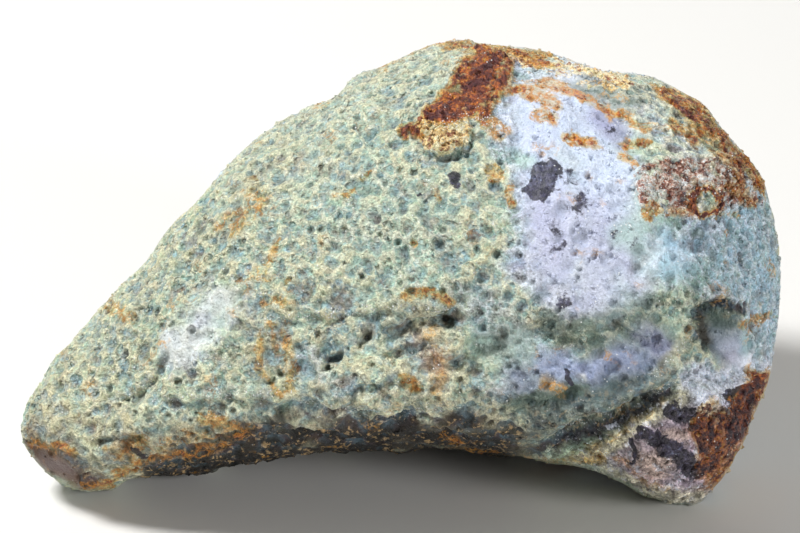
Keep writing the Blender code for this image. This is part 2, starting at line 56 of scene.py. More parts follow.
# The outline of the show face, from the tip of the tail to the right end.
TOP_EDGE = (
    (-32.5, -13.3), (-32.3, -12.3), (-31.8, -11.2), (-30.9, -9.8), (-29.4, -7.3), (-28.1, -6.1),
    (-26.1, -3.7), (-23.4, -0.8), (-21.8, 0.7), (-19.8, 3.6), (-17.8, 5.5), (-13.7, 10.1), (-11.3, 12.1),
    (-8.0, 14.0), (-5.5, 14.9), (-4.1, 16.5), (-1.6, 17.5), (2.0, 19.1), (4.7, 19.8), (7.6, 19.4),
    (11.9, 18.9), (17.6, 17.1), (20.8, 16.8), (24.2, 15.3), (26.1, 14.1), (27.5, 12.2), (30.2, 9.0),
    (31.1, 7.5), (31.7, 5.2), (32.4, 1.6), (32.5, -0.8),
)
BOTTOM_EDGE = (
    (-32.5, -13.3), (-31.9, -15.4), (-30.2, -17.4), (-28.6, -18.6), (-25.5, -18.9), (-24.7, -18.8),
    (-23.1, -17.7), (-20.2, -17.5), (-16.6, -17.2), (-13.7, -16.3), (-11.9, -16.5), (-8.6, -15.4),
    (-4.7, -15.5), (-1.0, -15.3), (1.0, -15.5), (2.7, -15.0), (5.4, -15.3), (9.0, -15.9), (10.5, -15.6),
    (11.5, -16.2), (16.6, -17.0), (19.1, -18.3), (21.0, -19.4), (22.5, -19.8), (25.9, -19.6),
    (27.3, -18.0), (29.1, -15.0), (30.3, -12.1), (31.6, -9.0), (32.2, -4.7), (32.4, -2.6), (32.5, -0.8),
)
# The wobbles of the outline fade out this far round from the edge, and are those shorter than the second.
EDGE_REACH = 3.0
EDGE_WOBBLE = 0.035
# The smoothing lets go of the tips over this many wobbles, and the wobbles fade out below this share of the
# half height.
TIP_HOLD = 2.5
EDGE_BAND = 0.8
# How far the stone reaches forward and back, and how deep its top and bottom edges lie: U, V and W of the
# front, V and W of the back, W of the top edge, W of the bottom edge, roundness of the lower back.
DEPTHS = (
    (-32.5, -13.3, 0.0, -13.3, 0.0, 0.0, 0.0, 2.1),
    (-29.1, -14.5, 5.0, -12.8, -5.0, -0.5, -1.5, 2.1),
    (-24.9, -13.7, 7.5, -10.7, -7.5, -1.0, -2.3, 2.1),
    (-18.9, -11.1, 10.0, -6.8, -11.0, -2.0, -3.0, 2.15),
    (-12.0, -9.0, 12.5, -3.4, -15.0, -3.0, -4.0, 2.2),
    (-4.3, -8.1, 14.5, -0.8, -18.5, -4.0, -4.5, 2.15),
    (4.2, -6.4, 16.0, 0.7, -20.5, -5.0, -5.0, 2.3),
    (12.8, -5.1, 16.5, 0.7, -21.0, -5.0, -4.0, 1.95),
    (21.4, -3.8, 15.5, 0.9, -19.0, -4.0, -1.5, 1.5),
    (27.3, -3.4, 12.0, 0.2, -14.0, -2.5, -0.5, 1.5),
    (31.2, -1.7, 5.5, -0.8, -6.5, -0.5, 0.0, 1.9),
    (32.5, -0.8, 0.0, -0.8, 0.0, 0.0, 0.0, 2.0),
)
# Roundness of a ring's other three quarters: 2 is round, more is boxier.
UPPER_FRONT, LOWER_FRONT, UPPER_BACK = 2.1, 2.6, 2.1
QUARTER_STEPS = 90

# Soft swells and dips of the front: U, V, half width, half height, rise.
SWELLS = (
    (-3.0, 4.0, 9.0, 6.0, 0.5),
    (11.0, 9.0, 8.0, 6.0, 0.5),
    (-6.0, -10.6, 10.0, 1.5, 0.7),
    (11.0, -8.0, 8.0, 3.2, -0.9),
    (24.0, 7.0, 5.0, 3.0, 0.5),
    (-17.0, -4.0, 4.0, 5.0, 0.3),
    (4.2, 0.7, 1.6, 1.4, -0.3),
    (6.0, 15.6, 1.3, 1.6, -0.35),
    (25.8, 5.8, 1.2, 1.1, 0.6),
    (25.0, 7.6, 4.2, 1.8, 0.3),
    (25.0, -10.9, 1.4, 1.0, 0.55),
    (20.6, -16.0, 1.7, 1.5, 0.6),
    (22.8, -14.2, 1.5, 1.0, -0.5),
    (27.8, -12.6, 1.6, 2.2, 0.3),
)
# Ledges: the ground drops away just below the line by the first number and comes back over the second.
LEDGE_STEP = (-0.12, 0.4)
LEDGE_HOLLOWNESS = 1.1
LINE_FADE = 0.18
LEDGES = (
    (((-11.6, -4.3), (-6.0, -3.6), (0.0, -3.2), (5.9, -3.2)), 0.35, 1.6),
    (((-2.0, -5.6), (0.2, -3.8), (3.5, -3.5), (5.3, -4.2)), 1.1, 3.0),
    (((-4.3, -6.7), (-3.6, -5.6), (-2.4, -5.1)), 0.6, 1.5),
    (((-1.9, -7.4), (-0.8, -6.8), (1.1, -6.2), (2.4, -5.4)), 0.6, 2.0),
    (((-7.1, -8.7), (-6.3, -7.4), (-4.9, -6.8)), 0.7, 2.0),
    (((-5.0, -10.6), (-3.6, -9.9), (-1.7, -9.4)), 0.5, 1.7),
    (((-11.7, -9.7), (-11.0, -8.7), (-10.3, -8.5)), 0.5, 1.4),
    (((-10.9, -11.9), (-10.1, -11.4), (-9.2, -11.2)), 0.5, 1.1),
    (((0.0, -11.6), (1.8, -10.9)), 0.5, 1.1),
    (((3.0, -8.6), (4.6, -7.0), (5.3, -6.1), (6.4, -5.5), (8.2, -5.6), (9.2, -5.2)), 0.8, 4.0),
    (((-21.4, -11.0), (-16.3, -10.9), (-9.5, -10.9), (-6.9, -11.6), (0.0, -12.4), (3.4, -11.8)), 0.4, 2.0),
    (((-24.9, -11.7), (-21.4, -9.1), (-19.6, -6.5)), 0.4, 1.6),
    (((-26.9, -14.4), (-24.0, -14.0), (-21.4, -13.8)), 0.4, 1.5),
    (((9.4, -11.5), (12.5, -10.9), (15.7, -10.0)), 0.6, 1.5),
    (
        ((-18.4, -16.0), (-12.9, -14.3), (-8.6, -13.4), (-4.3, -14.2), (0.0, -14.1), (3.4, -13.5),
         (6.8, -14.1)), 1.3, 2.6,
    ),
    (((1.8, 10.0), (3.4, 9.5), (4.6, 9.8), (5.8, 10.4)), 0.6, 1.2),
    (((17.1, -3.6), (19.5, -5.2), (22.5, -5.4)), 0.5, 1.6),
)
# Lines and outlines of the front are ragged: how far, with what size of waves, and two seeds.
LINE_RAGGED = (0.35, 1.5, (22, 23))
# Ridges: raised lines, with their rise and half width.
RIDGES = (
    (((14.8, -12.4), (18.7, -11.4), (21.1, -10.0), (22.6, -8.9), (24.4, -7.9)), 0.55, 0.6),
    (((24.8, -9.5), (26.7, -10.2), (28.4, -9.7), (31.5, -8.3)), 0.5, 0.5),
    (((1.4, 12.9), (4.7, 12.6), (5.9, 11.6)), 0.3, 1.1),
)
# The face of the broken corner, the chip on the tail and the deep hollow, each as an outline.
BROKEN_FACE = (
    (12.5, -15.6), (14.9, -13.8), (17.6, -12.8), (20.5, -11.3), (23.2, -9.9), (24.8, -9.2), (26.7, -10.2),
    (28.4, -9.7), (31.5, -8.3), (34.2, -7.6), (34.2, -21.4), (20.5, -21.4), (13.7, -17.3),
)
BREAK_DEPTH, BREAK_STEP, BREAK_FADE = 1.1, 0.5, (2.0, 9.0)
GROOVE_DEPTH, GROOVE_HALF_WIDTH = 1.8, 0.75
BREAK_GROOVE = ((11.5, -15.4), (14.0, -14.2), (17.4, -13.2), (20.3, -11.7), (22.8, -10.2))
CHIP_DEPTH, CHIP_STEP = 0.7, 0.6
CHIP_FACE = (
    (-33.0, -14.4), (-31.0, -14.7), (-29.8, -15.1), (-28.7, -15.9), (-27.8, -16.8), (-27.2, -17.6),
    (-27.4, -19.4), (-33.0, -19.4),
)
HOLLOW_EDGE = (
    (24.7, -3.4), (25.5, -2.7), (26.7, -2.3), (28.1, -2.3), (28.7, -3.3), (28.8, -4.6), (29.4, -5.8),
    (29.9, -6.9), (29.3, -8.2), (27.6, -8.6), (26.1, -7.2), (25.2, -5.7), (24.9, -4.6),
)
HOLLOW_DEPTH, HOLLOW_STEP = 3.4, (-0.15, 0.8)
# The hollow is deepest at its upper left rim and climbs by a share of its depth to the lower right, where
# its wall is wider and gentler by the last number.
HOLLOW_RIM = (26.0, -3.6)
HOLLOW_CLIMB = (0.55, -0.83)
HOLLOW_LENGTH, HOLLOW_RISE, HOLLOW_EASE = 5.4, 0.75, 1.9
# Its rim is ragged: how far, with what size of waves, and their seed.
HOLLOW_RAGGED = (0.25, 0.9, 21)
# How squarely the surface faces forward where the front's forms, the hollow and the lumps set in.
FRONT_FACING, HOLLOW_FACING, LUMP_FACING = (0.02, 0.4), (0.02, 0.2), (0.05, 0.45)
# Pits of the front: U, V, width, depth.
PITS = (
    (-6.6, 8.5, 0.9, 0.35), (-5.8, 8.5, 0.8, 0.25), (-4.8, 8.1, 1.4, 0.3), (-1.9, 4.1, 1.2, 0.6),
    (0.3, 4.9, 1.2, 0.55), (0.4, 6.5, 1.0, 0.35), (-0.1, 8.3, 0.9, 0.35), (1.2, 8.1, 1.1, 0.45),
    (2.5, 8.8, 1.2, 0.3), (2.4, 4.1, 0.9, 0.35), (3.9, 4.0, 0.8, 0.3), (5.3, 6.2, 0.9, 0.35),
    (3.3, 5.8, 0.8, 0.3), (4.8, 7.7, 1.1, 0.35), (3.3, 2.1, 1.3, 0.7), (4.2, 0.7, 2.6, 0.45),
    (1.1, 2.3, 0.8, 0.25), (-11.3, 3.9, 1.0, 0.4), (-10.4, 4.0, 0.7, 0.25), (-9.2, 3.6, 0.9, 0.35),
    (-11.6, 7.0, 0.9, 0.35), (-8.0, 9.7, 0.9, 0.25), (-4.2, 9.7, 1.0, 0.35), (-1.7, 9.6, 0.7, 0.25),
    (-3.0, 12.2, 0.8, 0.25), (-1.8, 12.5, 0.9, 0.3), (0.5, 16.9, 0.8, 0.25), (2.7, 17.1, 1.1, 0.25),
    (0.0, 14.7, 1.4, 0.4), (-5.4, 3.0, 1.0, 0.4), (-3.4, 3.0, 0.8, 0.25), (-5.1, 1.6, 0.8, 0.25),
    (-3.6, 0.6, 1.4, 0.3), (-9.8, -0.8, 0.9, 0.35), (-9.0, -1.7, 1.0, 0.45), (-7.3, -0.6, 0.8, 0.3),
    (-1.8, -1.5, 0.8, 0.3), (7.9, 7.0, 1.3, 0.6), (6.8, 7.6, 1.6, 0.25), (1.1, 11.6, 1.0, 0.5),
    (6.0, 5.5, 1.1, 0.25), (6.2, 2.8, 1.6, 0.55), (6.4, 1.6, 0.9, 0.35), (8.1, 1.3, 1.0, 0.5),
    (6.9, -0.6, 1.5, 0.65), (9.9, -0.6, 0.8, 0.35), (6.8, -4.9, 1.1, 0.6), (7.8, -4.0, 0.8, 0.35),
    (8.6, -5.4, 1.0, 0.4), (8.9, -2.6, 0.9, 0.3), (19.6, 0.1, 0.9, 0.35), (26.5, -0.5, 1.5, 0.35),
    (30.6, -1.3, 1.0, 0.4), (25.3, -7.4, 0.9, 0.35), (28.0, 3.7, 1.8, 0.55), (-21.5, -2.0, 1.0, 0.5),
    (-23.7, -7.0, 1.2, 0.65), (-23.7, -8.2, 1.3, 0.4), (-21.9, -6.6, 1.0, 0.5), (-25.0, -10.0, 1.0, 0.45),
    (-24.1, -4.3, 0.8, 0.25), (-4.2, -4.9, 0.8, 0.35), (-4.1, -5.6, 0.9, 0.35), (-5.9, -12.5, 1.9, 1.1),
    (-4.8, -13.2, 1.2, 0.6), (-3.4, -12.6, 1.1, 0.5), (15.1, -6.8, 1.3, 0.35), (12.7, 12.6, 0.8, 0.3),
    (14.5, 11.2, 1.1, 0.35), (-21.2, -12.4, 1.3, 0.4), (16.4, 7.4, 0.9, 0.3), (23.0, 1.1, 0.9, 0.3),
    (27.0, -3.3, 2.4, 1.3), (29.5, -2.9, 1.3, 0.6), (30.2, -4.7, 1.4, 0.6), (30.9, -1.3, 1.1, 0.45),
    (28.9, -4.9, 1.0, 0.45), (30.0, -6.4, 1.2, 0.4), (26.4, -5.2, 1.6, 0.5),
)
FRONT_PIT_FACING = 0.05
# Pits of the sides, back and underside, and those between the pits above.
STRAY_PITS = 210
STRAY_WIDTH = (0.9, 1.7)
STRAY_SHARE = (0.22, 0.4)
STRAY_SEED = 11
# The front has few of them beside its own pits.
FRONT_SHARE = 0.3
CLEAR_OF_BREAK = 0.8
# A pit's wall, and its rim: place and half width in radii, and rise as a share of its depth.
PIT_STEEPNESS = 2.4
PIT_REACH = 1.3
RIM_PLACE, RIM_HALF_WIDTH, RIM_RISE = 1.08, 0.14, 0.12
# The worn surface: lump size, rise and seed.
LUMPS = ((9.0, 0.45, 1), (4.5, 0.3, 2), (2.2, 0.16, 3))
# The noise repeats after this many lumps.
NOISE_PERIOD = 48

# The fine surface, which the solid leaves out: lump size, rise and seed.
FINE_LUMPS = ((1.1, 0.08, 4), (0.55, 0.06, 5), (0.3, 0.045, 6))
# Small hollows all over, wide shallow bowls and little pits: how many, least and most width, depth as a
# share of width, how much commoner the small ones are, rise of the rim as a share of depth, and the seed.
FINE_PITS = (
    (4200, (0.7, 1.7), (0.14, 0.28), 1.3, 0.1, 35),
    (2600, (0.45, 1.0), (0.25, 0.5), 1.6, 0.25, 31),
)
# Scoops of the lower front and deep pits of the right side: outline, how many, widths, depth as a share of
# width, and the seed.
LOW_FRONT = (
    (-13.5, -1.5), (-6.0, -2.0), (2.0, -0.5), (8.5, -3.5), (6.5, -8.0), (8.0, -13.0), (-2.0, -13.0),
    (-10.0, -12.5), (-16.0, -10.5), (-15.5, -6.0),
)
RIGHT_SIDE = (
    (22.5, 3.5), (28.0, 4.0), (31.5, 5.0), (34.0, 0.0), (33.0, -8.5), (30.5, -8.0), (29.5, -3.0),
    (24.5, -1.5),
)
SCOOPS = (
    (LOW_FRONT, 70, (1.3, 3.6), (0.13, 0.24), 36),
    (RIGHT_SIDE, 80, (0.7, 1.9), (0.2, 0.38), 37),
)
# A stroke of smoothness or colour fades out between these shares of its half width.
STROKE_EDGE = (0.45, 1.55)
# The belly is rougher: the size and rise of its lumps, and their seed.
BELLY_LUMPS = ((1.6, 0.3, 38), (0.7, 0.16, 39))
# A ledge is undercut just below its edge: how deep, and from how near to how far.
UNDERCUT, UNDERCUT_NEAR, UNDERCUT_FAR = 0.3, (-0.05, 0.2), (0.2, 1.7)
# Pits aren't quite round: how far their edges wander, the size of the waves and their seed.
PIT_UNEVEN = (0.3, 0.5, 33)
# The back has fewer small pits than the front, and lower lumps.
BACK_SHARE = 0.3
BACK_LUMPS = 0.4
# Smooth ground, where small pits and lumps all but vanish: how squarely it faces forward, how the chip's
# outline sets in, and then how smooth, half width and course.
SMOOTH_FACING, CHIP_EDGE = (-0.1, 0.25), (-0.1, 0.3)
SMOOTH_GROUND = (
    (0.8, 2.6, ((11.9, 13.7), (12.4, 9.4), (13.0, 4.7), (13.4, 0.9))),
    (0.8, 3.6, ((15.4, 15.4), (17.1, 10.3), (17.5, 6.0), (17.1, 0.9))),
    (0.6, 3.0, ((13.7, 0.0), (17.1, -2.6), (21.4, 0.9))),
    (0.75, 2.6, ((11.2, -9.0), (16.2, -9.0), (21.4, -6.0))),
    (0.7, 1.8, ((-18.9, -6.4), (-16.7, -4.7), (-15.0, -2.8))),
    (0.6, 1.5, ((6.8, -6.4), (8.5, -7.7), (10.2, -6.0))),
    (1.0, 1.7, ((26.9, -5.1), (28.2, -6.8))),
)
# Crumbly crusts: an outline, how far it stands up, and the rise of its crumbs.
MAROON_LENS = (
    (1.8, 13.5), (2.9, 14.7), (4.0, 15.8), (4.9, 17.8), (6.6, 19.0), (8.9, 19.2), (9.8, 17.8), (9.5, 16.1),
    (8.5, 14.7), (7.5, 13.0), (5.3, 12.7), (2.9, 12.3), (1.9, 12.6),
)
TAN_CRUST = (
    (1.4, 12.9), (4.7, 13.0), (5.9, 12.4), (5.8, 10.3), (3.4, 9.6), (2.1, 10.3), (1.3, 11.3),
)
RUST_CRUST = (
    (19.6, 7.7), (20.5, 9.0), (22.6, 9.6), (25.6, 9.7), (28.6, 9.6), (30.0, 8.7), (29.7, 6.0), (27.3, 4.7),
    (24.8, 4.2), (21.8, 4.5), (20.1, 5.6),
)
INDIGO_SPOT = (
    (10.2, 6.8), (11.0, 7.7), (11.1, 8.7), (11.5, 8.9), (12.8, 9.5), (13.4, 8.4), (13.0, 7.6), (12.9, 6.8),
    (11.9, 6.1), (11.1, 6.0),
)
CRUSTS = (
    (MAROON_LENS, 0.1, 0.15),
    (TAN_CRUST, 0.25, 0.2),
    (RUST_CRUST, 0.1, 0.2),
)
CRUMB_SIZE, CRUMB_SEED, CRUMB_MIDDLE = 0.55, 41, 0.4
# How a crust's outline and the broken face set in, by the distance inside.
CRUST_EDGE, FACE_EDGE = (-0.2, 0.3), (0.1, 0.8)
# Rounded knobs and grains that stand up: outline, how many, widths, rise as a share of width, and the seed.
KNOBS = (
    (MAROON_LENS, 260, (0.4, 1.1), (0.18, 0.34), 42),
    (TAN_CRUST, 150, (0.3, 0.8), (0.25, 0.45), 43),
    (RUST_CRUST, 240, (0.4, 1.4), (0.18, 0.36), 44),
    (BROKEN_FACE, 260, (0.7, 2.6), (0.14, 0.26), 45),
)
# The broken face: size and rise of its splinters, with their seed, and how far they stand up.
SPLINTERS = ((2.3, 0.5, 51), (1.1, 0.28, 52), (0.55, 0.14, 53))
SPLINTER_MIDDLE = 0.4
# What smooth ground takes from the lumps and from the small pits, and the broken face from the latter.
LUMPS_TAKEN, PITS_TAKEN, FACE_TAKEN = 0.7, 0.92, 0.8
# How squarely the surface faces forward where the fine forms of the front set in.
FINE_FACING, FINE_LUMP_FACING = (0, 0.3), (0.05, 0.4)

# How densely the skin is gridded before it is thinned to the second number of triangles.
GRID = ((1000, 820))
TRIANGLES = 197000
# The back is this much flatter while the skin is thinned, so that the front keeps more of the triangles.
BACK_FLATTENED = 0.35
# How the shade of a pit's floor builds up with its depth: share, and from what depth to what.
PIT_SHADES = ((0.6, (0.02, 0.3)), (0.4, (0.3, 0.6)))
# The cells that a place's height is held against, to tell hollows from crests.
NEAR_CELLS, WIDE_CELLS = max(GRID[0] // 250, 1), GRID[0] // 70

# The camera looks straight at the show face: the middle and width of its view there, and how far off it is.
VIEW_MIDDLE = (-0.04, 0.3)
VIEW_WIDTH = 68.5
CAMERA_DISTANCE = 900.0
# Lights: name, direction as right, up the face and out of it, distance in mm, size in m, watts. Then the
# strength of the sky, the camera's sensor in mm and its reach in m, and the floor.
LIGHTS = (
    ("key", (-0.6, 0.8, 0.44), 420, 0.1, 2.3),
    ("fill", (0.85, 0.0, 0.75), 500, 0.12, 1.25),
    ("rim", (0.2, 0.8, -0.7), 500, 0.3, 0.7),
)
SKY_STRENGTH = 0.24
SENSOR_WIDTH, FARTHEST_SEEN = 36.0, 20.0
FLOOR_RADIUS, FLOOR_ROUGHNESS = 4.0, 0.9

# Colours, as red, green and blue out of 255.
PALETTE = {
    "sage": (172, 196, 172),
    "pale": (204, 214, 192),
    "mint": (164, 200, 182),
    "cream": (232, 226, 196),
    "tan_green": (182, 176, 140),
    "olive": (140, 136, 96),
    "olive_brown": (122, 106, 76),
    # deep is laid only as painted shade: under ledges, on the belly, in clefts, along the underside and in
    # the hollow.
    "deep": (58, 54, 46),
    "milk": (216, 219, 220),
    "blue_white": (198, 209, 234),
    "lilac_white": (186, 190, 216),
    "lavender": (142, 142, 178),
    "periwinkle": (150, 164, 206),
    "slate": (108, 118, 142),
    "steel": (128, 162, 182),
    "teal_grey": (138, 163, 166),
    "teal_dark": (62, 84, 88),
    "fern": (138, 168, 142),
    "aqua": (166, 206, 228),
    "dark_green": (78, 98, 86),
    "pinkish": (208, 184, 168),
    "rose": (176, 136, 124),
    "tan": (200, 168, 120),
    "straw": (214, 202, 150),
    "blush": (214, 182, 156),
    "rusty_orange": (188, 104, 46),
    "glaze": (246, 210, 138),
    "white": (242, 244, 244),
    "ochre": (196, 142, 54),
    "sienna": (144, 80, 48),
    "red_brown": (106, 52, 40),
    "maroon": (74, 36, 38),
    "plum": (72, 52, 64),
    "plum_black": (46, 38, 46),
    "brown": (112, 72, 50),
    "plum_grey": (110, 96, 106),
    "umber": (84, 64, 48),
    "rind": (232, 238, 255),
    "quartz": (190, 174, 190),
    "ink": (66, 62, 88),
    "ink_dark": (36, 34, 46),
    "floor": (222, 221, 218),
}
# Mottling: tone, strength, how high the noise must rise, size in mm, shift, and on which ground.
MOTTLES = (
    ("cream", 0.4, 0.54, 0.9, 11.0, "skin"),
    ("fern", 0.5, 0.48, 1.9, 3.0, "skin"),
    ("mint", 0.6, 0.5, 2.6, 5.0, "skin"),
    ("steel", 0.5, 0.53, 0.9, 7.0, "skin"),
    ("blush", 0.35, 0.57, 1.6, 17.0, "skin"),
    ("straw", 0.4, 0.56, 0.7, 13.0, "skin"),
    ("olive", 0.45, 0.6, 0.5, 25.0, "skin"),
    ("periwinkle", 0.75, 0.5, 2.4, 33.0, "bare"),
    ("white", 0.95, 0.48, 1.6, 35.0, "bare"),
    ("mint", 0.5, 0.54, 1.8, 59.0, "bare"),
    ("lavender", 0.6, 0.55, 1.0, 73.0, "bare"),
    ("slate", 0.8, 0.57, 0.5, 41.0, "bare"),
    ("milk", 0.3, 0.55, 1.2, 43.0, "smooth"),
    ("rind", 0.55, 0.55, 0.8, 45.0, "broken"),
    ("umber", 0.5, 0.56, 0.6, 49.0, "broken"),
    ("tan", 0.75, 0.56, 0.6, 67.0, "dark"),
)
MOTTLE_EDGE, MOTTLE_DETAIL = 0.08, (3.0, 0.62)
# Cells of the skin drawn too fine for its mesh: size in mm, strength of their colour and depth in mm.
CELLS = ((1.15, 0.5, 0.2), (0.7, 0.45, 0.14))
# Their least and greatest radius, as a share of their size.
CELL_RADIUS = (0.36, 0.62)
# The skin's material. Its noises: size in mm, detail, roughness and shift.
NOISES = {
    "floor": (2.0, 2.0, 0.55, 31.0),
    "fine": (0.2, 3.0, 0.6, 29.0),
    "crowd": (2.8, 2.0, 0.55, 71.0),
    "vein": (1.5, 5.0, 0.62, 51.0),
    "stray": (3.5, 2.0, 0.55, 53.0),
    "facet": (1.3, 5.0, 0.7, 55.0),
    "torn": (1.5, 6.0, 0.72, 37.0),
    "crumb": (0.32, 3.0, 0.7, 47.0),
    "clump": (0.9, 4.0, 0.65, 57.0),
}
# Places warped by noise, so that cells come out uneven: size of its waves, and reach in mm.
CELL_WARP, SPECK_WARP, FACET_WARP = (0.5, 0.35), (0.3, 0.25), (0.5, 0.5)
# Ground counts as lit between these lightnesses, and as blue where its blue is this much over its red.
LIT_GROUND, BLUE_GROUND = (0.02, 0.2), (0.02, 0.14)
# What paint leaves of the mottling and of the cells' colours, and how pale rims and crests are.
MOTTLED_PAINT, CELLED_PAINT, PALE_SHARE = 0.35, 0.7, 0.45
# Where cells crowd, how strong they are between the crowds, and what bare ground leaves of them.
CROWDS, SPARSE, CELLED_BARE = (0.38, 0.58), 0.35, 0.25
# A cell's wall, and the inner and outer side of its rim, in radii.
CELL_WALL, RIM_INNER, RIM_OUTER = (1.0, 0.45), (0.86, 1.02), (1.35, 1.1)
# Which cells are dusky inside, how their depths vary, and how high their rims are.
DUSKY_CELLS, CELL_DEPTHS, CELL_RIM_RISE = (0.66, 0.78), (0.5, 1.3), 0.04
# How high the finest grain of the bump is, in mm.
FINE_RISE = 0.03
# Veins: where they stray from the iron and how strongly, where there are any, and their edge and strength.
STRAY_VEINS, STRAY_STRENGTH, VEINED = (0.54, 0.7), 0.4, (0.1, 0.5)
VEIN_EDGE, VEIN_SHARE = (0.06, 0.01), 0.8
# Dark specks: size in mm, edge, how many, strength and depth.
SPECK_SIZE, SPECK_EDGE, SPECK_LUCK, SPECK_SHARE, SPECK_DEPTH = 0.36, (0.45, 0.2), (0.74, 0.8), 0.55, 0.05
# Facets of the broken face: size in mm, how their shades vary, and the blotches over them.
FACET_SIZE, FACET_SHADES, BLOTCH_SHADES, FACET_RISE = 0.6, (0.7, 1.25), (0.45, 1.5), 0.1
# Painted shade in pits, clefts and basins and painted highlight on crests, by how far they dip below what
# is round them: from, to and strength. Pit floors are partly their own dusky colour and crests partly pale
# rims.
PIT_FLOOR_AND_SHADE = 0.5
CLEFT_SHADE, BASIN_SHADE = (0.03, 0.16, 0.45), (0.01, 0.16, 0.3)
PALE_RIM_AND_HIGHLIGHT, CREST_TINT_AND_HIGHLIGHT = (-0.01, -0.06), (-0.01, -0.09, 0.25)
# How each stain sets in over its mark: from, to and strength. No stain is found where its mark is nil.
STAINS = {
    "moss": (0.42, 0.8, 0.7),
    "tan": (0.4, 0.75, 0.92),
    "rust": (0.4, 0.75, 0.92),
    "ink": (0.38, 0.66, 0.94),
    "glaze": (0.1, 0.7, 0.8),
    "iron": (0.62, 1.0, 1.0),
}
STAIN_NEAR, TORN_REACH = (0.02, 0.3), 2.4
# How far small crumbs, facets and clumps move the tone of a crust or of rust, and how far iron does.
CRUMB_TONE, PLATE_TONE, CLUMP_RUST, CRUMB_RUST, IRON_RUST = 0.5, 0.3, 2.2, 1.3, 0.55
# Where the rust of the broken face clumps to plum, and how dark between and inside the clumps.
PLUM_CLUMPS, PLUM_SHARES = (0.42, 0.62), (0.4, 0.92)
# Heights of the torn, clumped and crumbled ground in mm, and what smooth ground leaves of the first.
TORN_RISE, CLUMP_RISE, CRUMB_RISE, SMOOTH_TORN = 0.45, 0.3, 0.3, 0.3
# The middle part of a noise, and what smooth ground leaves of the grain.
NOISE_MIDDLE, GRAIN_MIDDLE, SMOOTH_GRAIN = (0.3, 0.7), (0.28, 0.72), 0.35
# Glinting flakes, their white partly a painted glint: size in mm, edge, how rare without and with frost,
# how bright on dark and lit ground.
FLAKE_SIZE, FLAKE_EDGE, FROSTED, FLAKE_RARE, FLAKE_BRIGHT = 0.2, (0.42, 0.3), 0.8, (0.985, 0.7), (0.3, 0.8)
# Roughness of smooth and of pitted ground, how far the grain moves it, and how much glossier a flake is.
DULLNESS, GRAIN_DULLNESS, FLAKE_GLOSS = (0.34, 0.48), (-0.08, 0.08), 0.4
# The tones of pit floors, along a noise.
FLOOR_COLOURS = ((0.36, "teal_dark"), (0.47, "steel"), (0.56, "plum_grey"), (0.66, "umber"))
# Grains: size in mm, darkest and lightest shade, shift.
GRAINS, GRAIN_DETAIL = ((0.45, 0.8, 1.24, 63.0), (0.2, 0.72, 1.32, 29.0)), (3.0, 0.65)
# The tones of the crusts' crumbs, of iron stain and of manganese, along a noise.
CRUST_COLOURS = (
    ("tan", ((0.3, "sienna"), (0.38, "tan"), (0.46, "glaze"), (0.55, "cream"), (0.66, "straw"))),
    ("rust", (
        (0.28, "plum"), (0.36, "red_brown"), (0.43, "sienna"), (0.49, "rose"), (0.55, "pinkish"),
        (0.64, "milk"),
    )),
)
INK_COLOURS = ((0.5, "ink_dark"), (0.6, "ink"), (0.72, "slate"))
IRON_COLOURS = (
    (0.02, "tan"), (0.18, "ochre"), (0.34, "rusty_orange"), (0.48, "sienna"), (0.66, "red_brown"),
    (0.95, "maroon"),
)
